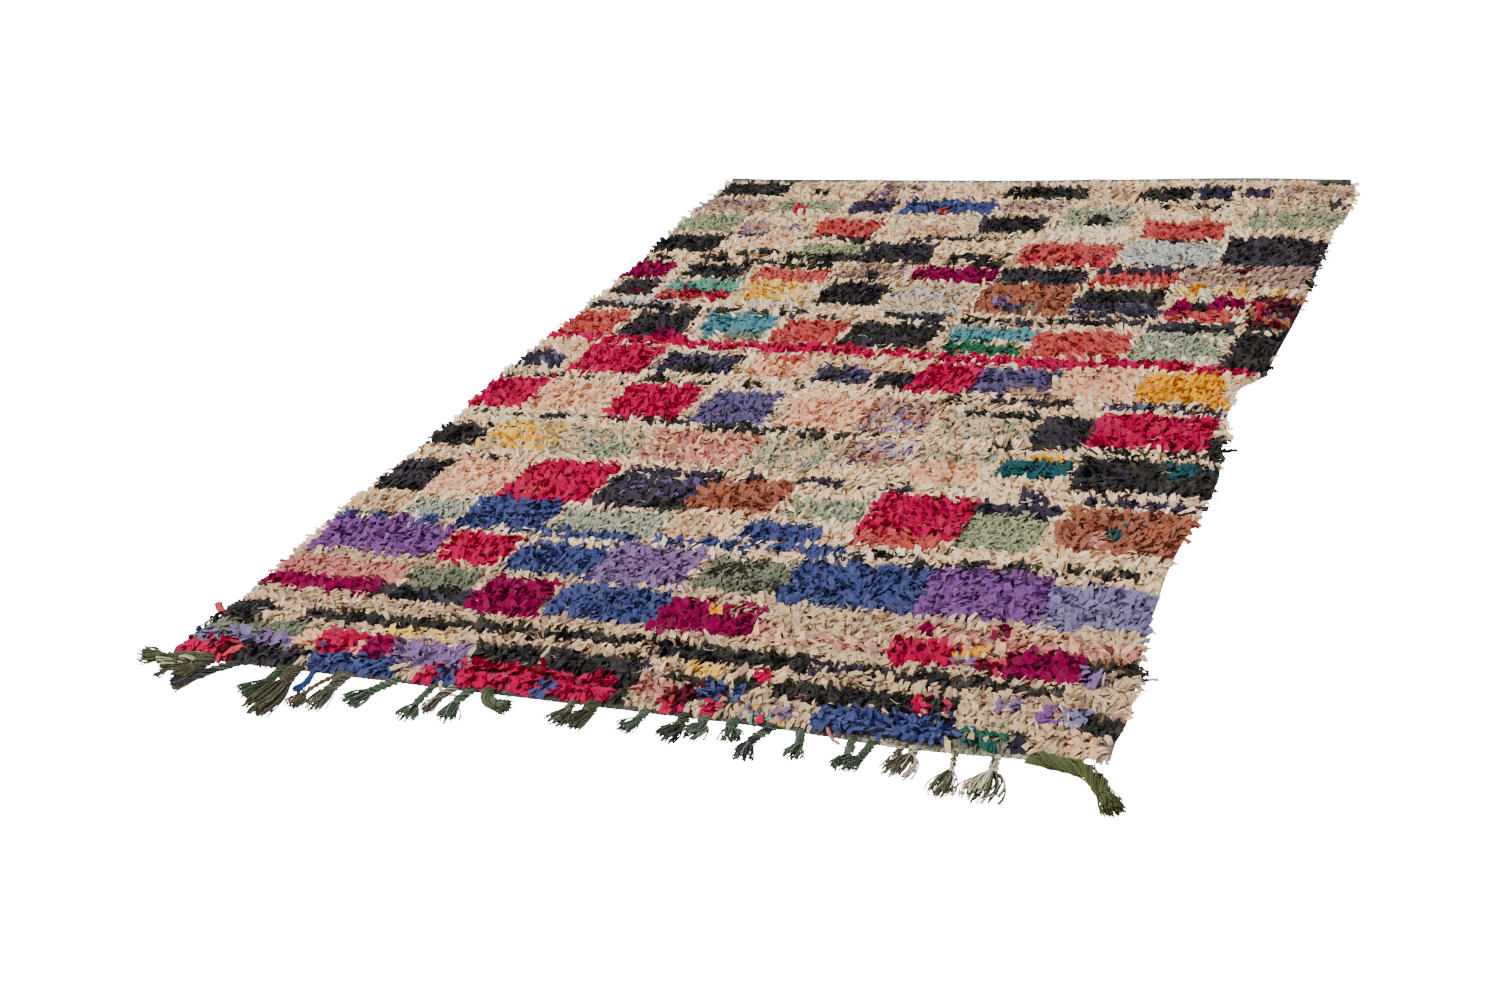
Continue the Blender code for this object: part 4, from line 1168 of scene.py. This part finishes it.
def tassel_yarns(row, way, sizes, random_source):
    """Paths, radii and wools of one tassel's yarns, which twist as far as the neck's knot
    and fan out past it."""
    shares = np.linspace(0, 1, YARN_RINGS)
    line = along_way(way, shares)
    neck, brush = row.neck * sizes.plump, row.brush * sizes.plump
    yarns = int(round(((neck / sizes.yarn) ** 2 * 0.5 + brush / sizes.yarn) * sizes.fullness))
    past = np.clip((shares - row.tied) / (1 - row.tied), 0, 1)
    before = np.clip(shares / row.tied, 0, 1)
    waist = 1 - WAIST_PINCH * np.exp(-((shares - row.tied) / WAIST_SPAN) ** 2)
    across = neck / 2 * waist + (brush - neck) / 2 * np.sin(past * HEAD_ROUND) ** 0.8
    height = np.minimum(across * 0.85, neck / 2 * 0.9 + BRUSH_RISE * past)
    tangent = unit(np.gradient(line, axis=0))
    side = np.stack([-tangent[:, 1], tangent[:, 0]], -1)
    depth = np.sqrt(random_source.uniform(0.02, 1, yarns))[:, None]
    phase = random_source.uniform(0, 2 * math.pi, yarns)[:, None]
    angle = phase + 2 * math.pi * row.turns * before[None]
    wander = np.cumsum(random_source.normal(0, YARN_WANDER, (yarns, YARN_RINGS, 2)), axis=1)
    wander *= (0.25 + past)[None, :, None] * np.clip(shares / 0.15, 0, 1)[None, :, None]
    reach = random_source.uniform(*YARN_REACH, yarns)[:, None]
    own = np.where(shares > row.tied, row.tied + (shares - row.tied) * reach, shares)
    x = np.interp(own, shares, line[:, 0])
    y = np.interp(own, shares, line[:, 1])
    off = across[None] * depth * np.cos(angle) + wander[..., 0]
    rise = height[None] * (1 + depth * np.sin(angle)) + 0.5 * wander[..., 1]
    root = np.clip(1 - shares / ROOT_SHARE, 0, 1)[None]
    z = rise * (1 - root) + (ROOT_RISE + 0.3 * (rise - height[None])) * root
    thickness = random_source.uniform(*YARN_THICKNESS, yarns)[:, None]
    radius = sizes.yarn / 2 * thickness * (1 + 0.3 * past[None])
    z = np.maximum(z, radius + FLOOR_GAP)
    paths = np.stack([x + side[None, :, 0] * off, y + side[None, :, 1] * off, z], -1)
    second = random_source.random(yarns) < row.share
    return paths, radius, np.where(second, row.second, row.wool)


def neck_knot(row, way, sizes):
    """Path, radius, wool and heading of the yarn that is wrapped round a tassel's neck."""
    neck = row.neck * sizes.plump
    middle = along_way(way, [row.tied])[0]
    heading = along_way(way, [min(row.tied + 0.02, 1.0)])[0] - middle
    heading = heading / np.linalg.norm(heading)
    turns = np.linspace(0, 2 * math.pi * KNOT_TURNS, YARN_RINGS)
    half_wide, half_high = neck / 2 * 0.95 + sizes.yarn * 0.3, neck / 2 * 0.80 + sizes.yarn * 0.3
    drift = (turns / turns[-1] - 0.5) * sizes.yarn * 2.1
    path = np.stack([
        middle[0] - heading[1] * half_wide * np.cos(turns) + heading[0] * drift,
        middle[1] + heading[0] * half_wide * np.cos(turns) + heading[1] * drift,
        np.maximum(half_high * (1 + np.sin(turns)) + 0.0002, sizes.yarn / 2 + FLOOR_GAP),
    ], -1)
    wool = row.second if row.share > KNOT_SECOND else row.wool
    return path[None], np.full((1, YARN_RINGS), sizes.yarn / 2), wool, heading


def tie_tassel(row, way, sizes, random_source):
    """Paths, radii, axes and wools of one tassel: its yarns, then the knot round its neck."""
    paths, radius, wools = tassel_yarns(row, way, sizes, random_source)
    knot_path, knot_radius, knot_wool, heading = neck_knot(row, way, sizes)
    paths = np.concatenate([paths, knot_path])
    radius = np.concatenate([radius, knot_radius])
    axes = np.broadcast_to(UP, paths.shape).copy()
    axes[-1] = (*heading, 0.0)
    return paths, radius, axes, np.append(wools, knot_wool)


def wool_group():
    """Plied wool: each yarn's own tint, its plies as dark lines, and felted fluff."""
    tree, given, result = new_group(
        "Plied wool",
        (("Colour", "Color", (0.2, 0.2, 0.2, 1)), ("Tint", "Float", 0.5), ("Yarn", "Vector", (0, 0, 0)),
         ("Ply", "Float", 0.006)),
        (("Colour", "Color"), ("Relief", "Float")),
    )
    place_in = tree.nodes.new("ShaderNodeTexCoord").outputs["Object"]
    turn = add_node(tree, "SeparateXYZ", Vector=given.outputs["Yarn"])
    angle = maths(tree, "ARCTAN2", turn.outputs["Y"], turn.outputs["X"])
    along = maths(tree, "DIVIDE", turn.outputs["Z"], given.outputs["Ply"])
    whole = maths(tree, "MULTIPLY", along, 2 * math.pi)
    doubled = maths(tree, "MULTIPLY", angle, 2.0)
    wave = maths(tree, "SINE", maths(tree, "ADD", doubled, whole), 0.0)
    plies = add_node(
        tree, "MapRange", {"interpolation_type": "SMOOTHSTEP"},
        Value=wave, From_Min=-1.0, From_Max=0.2).outputs["Result"]
    fluff = add_node(
        tree, "TexNoise", Vector=place_in, Scale=900.0, Detail=3.0, Roughness=0.7).outputs["Fac"]
    patches = add_node(tree, "TexNoise", Vector=place_in, Scale=60.0, Detail=2.0).outputs["Fac"]
    # Painted shade: the colour falls to 0.62 in the grooves between the plies, the same plies that give the
    # relief.
    value = spread_to(tree, plies, 0.62, 1.05)
    for part, low, high in (
        (fluff, 0.7, 1.3), (given.outputs["Tint"], 0.72, 1.30), (patches, 0.85, 1.15),
    ):
        value = maths(tree, "MULTIPLY", value, spread_to(tree, part, low, high))
    shaded = add_node(tree, "HueSaturation", Value=value, Color=given.outputs["Colour"])
    relief = maths(tree, "ADD", plies, maths(tree, "MULTIPLY", fluff, 0.6))
    tree.links.new(shaded.outputs["Color"], result.inputs["Colour"])
    tree.links.new(relief, result.inputs["Relief"])
    return tree


def wool_material(name, colour):
    """Matt plied wool of one colour."""
    material, tree, shader = new_material("wool_" + name)
    wool = tree.nodes.new("ShaderNodeGroup")
    wool.node_tree = group_named("Plied wool", wool_group)
    wool.inputs["Colour"].default_value = (*linear(colour), 1.0)
    tree.links.new(read_attribute(tree, "tint"), wool.inputs["Tint"])
    tree.links.new(read_attribute(tree, "yarn", "Vector"), wool.inputs["Yarn"])
    dress_shader(
        tree, shader, wool.outputs["Colour"], wool.outputs["Relief"], (0.8, 0.0004),
        Roughness=0.95, Specular_IOR_Level=0.2, Sheen_Weight=0.08)
    return material


def add_tubes(name, paths, wide, high, axes, tints, material, sides=3):
    """One mesh of tubes with their tint and their yarn's turn and way."""
    points, faces, counts, yarn = tubes(paths, wide, high, axes, sides)
    piece = add_mesh(name, place(*points.T), faces, counts, material)
    add_values(piece, tint=np.repeat(tints, paths.shape[1] * sides))
    attribute = piece.data.attributes.new("yarn", "FLOAT_VECTOR", "POINT")
    attribute.data.foreach_set("vector", yarn.astype(np.float32).ravel())
    return piece


class RUG_OT_tassels(bpy.types.Operator):
    """Tie the wool tassels and the thick corner bundle to the hem"""

    bl_idname = "rug.tassels"
    bl_label = "Tassels"

    def execute(self, context):
        sizes = context.scene.rug_fringe
        random_source = np.random.default_rng(sizes.seed)
        parts = []
        for row in (*TASSELS, CORNER):
            start = np.array([row.root, float(hem_line(row.root)) + UNDER_HEM])
            tip = np.array([row.tip_x, row.tip_y])
            across = np.array([start[1] - tip[1], tip[0] - start[0]])
            middle = (start + tip) / 2 + across / np.linalg.norm(across) * row.bow
            way = CORNER_WAY if row is CORNER else (start, middle, tip)
            parts.append(tie_tassel(row, way, sizes, random_source))
        paths, radius, axes, wools = (np.concatenate(column) for column in zip(*parts))
        tints = random_source.random(len(paths))
        for name, colour in WOOLS.items():
            members = wools == name
            if not members.any():
                continue
            piece = add_tubes(
                "wool_" + name, paths[members], radius[members], radius[members], axes[members],
                tints[members], wool_material(name, colour))
            finish_piece(piece, FRINGE_NODE)
        return {"FINISHED"}


class RUG_OT_threads(bpy.types.Operator):
    """Scatter the frayed threads that curl over the pile"""

    bl_idname = "rug.threads"
    bl_label = "Frayed threads"

    def execute(self, context):
        sizes = context.scene.rug_pile
        random_source = np.random.default_rng(sizes.seed + 1)
        for name, colour, count in THREADS:
            each = (count, 1)
            every = (count, THREAD_RINGS)
            across = random_source.uniform(*THREADS_WITHIN, count)
            along = random_source.uniform(*THREADS_WITHIN, count)
            x, y = cloth_place(across, along)
            heading = random_source.uniform(0, 2 * math.pi, each)
            heading = heading + np.cumsum(random_source.normal(0, 0.7, every), axis=1)
            step = random_source.uniform(*THREAD_STEP, each)
            level = random_source.uniform(*THREAD_LEVEL, each)
            paths = np.stack([
                x[:, None] + np.cumsum(step * np.cos(heading), axis=1),
                y[:, None] + np.cumsum(step * np.sin(heading), axis=1),
                level + random_source.normal(0, THREAD_WAVE, every),
            ], -1)
            radius = np.broadcast_to(random_source.uniform(*THREAD_RADIUS, each), every)
            piece = add_tubes(
                "threads_" + name, paths, radius, radius, UP, random_source.random(count),
                wool_material("thread_" + name, colour))
            finish_piece(piece, PILE_NODE)
        return {"FINISHED"}


class RUG_OT_loose_ends(bpy.types.Operator):
    """Lay the loose strips and yarn ends that stray past the sides"""

    bl_idname = "rug.loose_ends"
    bl_label = "Loose ends"

    def execute(self, context):
        random_source = np.random.default_rng(LOOSE_SEED)
        shares = np.linspace(0, 1, LOOSE_RINGS)
        rise = 0.003 + 0.007 * (1 - shares) ** 2 + 0.0008 * np.sin(shares * 17)
        for order, row in enumerate(LOOSE_ENDS, start=1):
            flat = along_way(row.way, shares)
            paths = np.concatenate([flat, rise[:, None]], axis=1)[None]
            half = row.width / 2
            wide = np.full((1, LOOSE_RINGS), half) * random_source.uniform(0.8, 1.15, LOOSE_RINGS)
            high = np.full((1, LOOSE_RINGS), min(half, LOOSE_THICK))
            material = wool_material(f"loose_{order}", row.colour)
            piece = add_tubes(
                f"loose_end_{order}", paths, wide, high, UP, np.array([0.5]), material, sides=4)
            finish_piece(piece, PILE_NODE)
        return {"FINISHED"}


def hem_material():
    """Flat-woven wool of mixed yarns."""
    material, tree, shader = new_material("hem_weave")
    yarns = read_attribute(tree, "yarns", "Color")
    place_in = tree.nodes.new("ShaderNodeTexCoord").outputs["Object"]
    fluff = add_node(tree, "TexNoise", Vector=place_in, Scale=700.0, Detail=3.0).outputs["Fac"]
    shade = add_node(tree, "HueSaturation", Color=yarns, Value=spread_to(tree, fluff, 0.55, 1.35))
    dress_shader(
        tree, shader, shade.outputs["Color"], fluff, (0.7, 0.0006),
        Roughness=0.95, Specular_IOR_Level=0.2)
    return material


class RUG_OT_hem(bpy.types.Operator):
    """Weave the flat hem of the tasselled end"""

    bl_idname = "rug.hem"
    bl_label = "Hem"

    def execute(self, context):
        sizes = context.scene.rug_weave
        random_source = np.random.default_rng(HEM_SEED)
        across, along = np.meshgrid(
            np.linspace(-HEM_HALF, HEM_HALF, HEM_COLUMNS), np.linspace(0, 1, HEM_ROWS))
        ragged = random_source.normal(0, 0.0006, HEM_COLUMNS)
        depth = hem_line(across) + ragged * (1 - along) + sizes.hem_depth * along
        dome = 1 - (2 * along - 1) ** 6
        odd = (np.arange(HEM_ROWS)[:, None] + np.arange(HEM_COLUMNS)) % 2
        bumps = np.where(odd, HEM_BUMP, 0.0)
        top = sizes.hem_thickness * (0.35 + 0.45 * dome) + bumps
        top = top + random_source.uniform(0, 0.0004, across.shape)
        x, y = across.ravel(), depth.ravel()
        middle, span = HEM_PALES
        pale = 1 / (1 + np.exp(-(x - middle) / span))
        draw = random_source.random(len(x)) + 0.9 * pale - 0.55
        palette = np.array([[*linear(colour), 1.0] for colour in HEM_COLOURS])
        piece = add_slab(
            "woven_hem", place(x, y, np.full(len(x), HEM_FOOT)), place(x, y, top.ravel()),
            HEM_COLUMNS, hem_material(), "yarns", palette[np.digitize(draw, HEM_SHARES)])
        finish_piece(piece, FRINGE_NODE)
        return {"FINISHED"}


def camera_glow(tree, glow):
    """A brightness that only the camera's own rays see."""
    seen = add_node(tree, "LightPath").outputs["Is Camera Ray"]
    return maths(tree, "MULTIPLY", seen, glow)


def floor_material(settings):
    """White paper that glows for the camera."""
    material, tree, shader = new_material("floor_paper")
    shader.inputs["Base Color"].default_value = (*settings.floor_colour, 1)
    shader.inputs["Roughness"].default_value = 0.9
    shader.inputs["Specular IOR Level"].default_value = 0.1
    shader.inputs["Emission Color"].default_value = (1, 1, 1, 1)
    glow = camera_glow(tree, settings.backdrop_glow)
    tree.links.new(glow, shader.inputs["Emission Strength"])
    return material


def even_light(settings):
    """A world of even white light, as bright as the floor where the camera sees it."""
    world = bpy.data.worlds.new("even_light")
    world.use_nodes = True
    tree = world.node_tree
    sky = tree.nodes["Background"]
    sky.inputs["Color"].default_value = (1, 1, 1, 1)
    glow = camera_glow(tree, settings.backdrop_glow)
    strength = maths(tree, "MAXIMUM", glow, settings.sky_strength)
    tree.links.new(strength, sky.inputs["Strength"])
    return world


def add_lamp(name, power, at, size):
    """A square soft light that faces the middle of the rug."""
    light = bpy.data.lights.new(name, "AREA")
    light.energy = power
    light.size = size
    lamp = bpy.data.objects.new(name, light)
    lamp.location = at
    lamp.rotation_euler = (-Vector(at)).to_track_quat("-Z", "Y").to_euler()
    bpy.context.scene.collection.objects.link(lamp)


def add_camera(lens):
    """The photograph's camera."""
    camera = bpy.data.cameras.new("camera")
    camera.lens = lens
    camera.clip_end = CAMERA_SEES
    view = bpy.data.objects.new("camera", camera)
    view.location = CAMERA_EYE
    view.rotation_euler = [math.radians(angle) for angle in CAMERA_TURN]
    bpy.context.scene.collection.objects.link(view)
    return view


class RUG_OT_stage(bpy.types.Operator):
    """Set the floor, the soft lights and the camera"""

    bl_idname = "rug.stage"
    bl_label = "Stage"

    def execute(self, context):
        settings = context.scene.rug_stage
        bpy.ops.mesh.primitive_plane_add(size=FLOOR_SIZE, location=FLOOR_MIDDLE)
        floor = context.object
        floor.name = "floor"
        floor.data.materials.append(floor_material(settings))
        for name, setting, at, size in LIGHTS:
            add_lamp(name, getattr(settings, setting), at, size)
        context.scene.world = even_light(settings)
        context.scene.camera = add_camera(settings.lens)
        return {"FINISHED"}


class RUG_PT_panel(bpy.types.Panel):
    """The rug's sizes, colours and steps"""

    bl_label = "Boucherouite rug"
    bl_idname = "RUG_PT_panel"
    bl_space_type = "VIEW_3D"
    bl_region_type = "UI"
    bl_category = "Rug"

    def draw(self, context):
        for group in SETTINGS:
            settings = getattr(context.scene, group)
            box = self.layout.box()
            for name in settings.__annotations__:
                box.prop(settings, name)
        for step in STEPS:
            self.layout.operator(step.bl_idname)


STEPS = (
    RUG_OT_stage, RUG_OT_rag_pile, RUG_OT_hem, RUG_OT_tassels, RUG_OT_threads, RUG_OT_loose_ends,
    RUG_OT_ground_cloth)
SETTINGS = {
    "rug_weave": WeaveSizes, "rug_pile": PileSizes, "rug_fringe": FringeSizes,
    "rug_rags": RagColours, "rug_stage": StageSettings,
}


def register():
    """Registers the settings, the steps and the panel."""
    for group in (*SETTINGS.values(), *STEPS, RUG_PT_panel):
        bpy.utils.register_class(group)
    for name, group in SETTINGS.items():
        setattr(bpy.types.Scene, name, bpy.props.PointerProperty(type=group))


def unregister():
    """Takes everything that register adds away again."""
    for name in SETTINGS:
        delattr(bpy.types.Scene, name)
    for group in (RUG_PT_panel, *reversed(STEPS), *reversed(SETTINGS.values())):
        bpy.utils.unregister_class(group)


def main():
    """Builds the rug step by step and notes its size."""
    register()
    for step in STEPS:
        area, name = step.bl_idname.split(".")
        getattr(getattr(bpy.ops, area), name)()


if __name__ == "__main__":
    main()
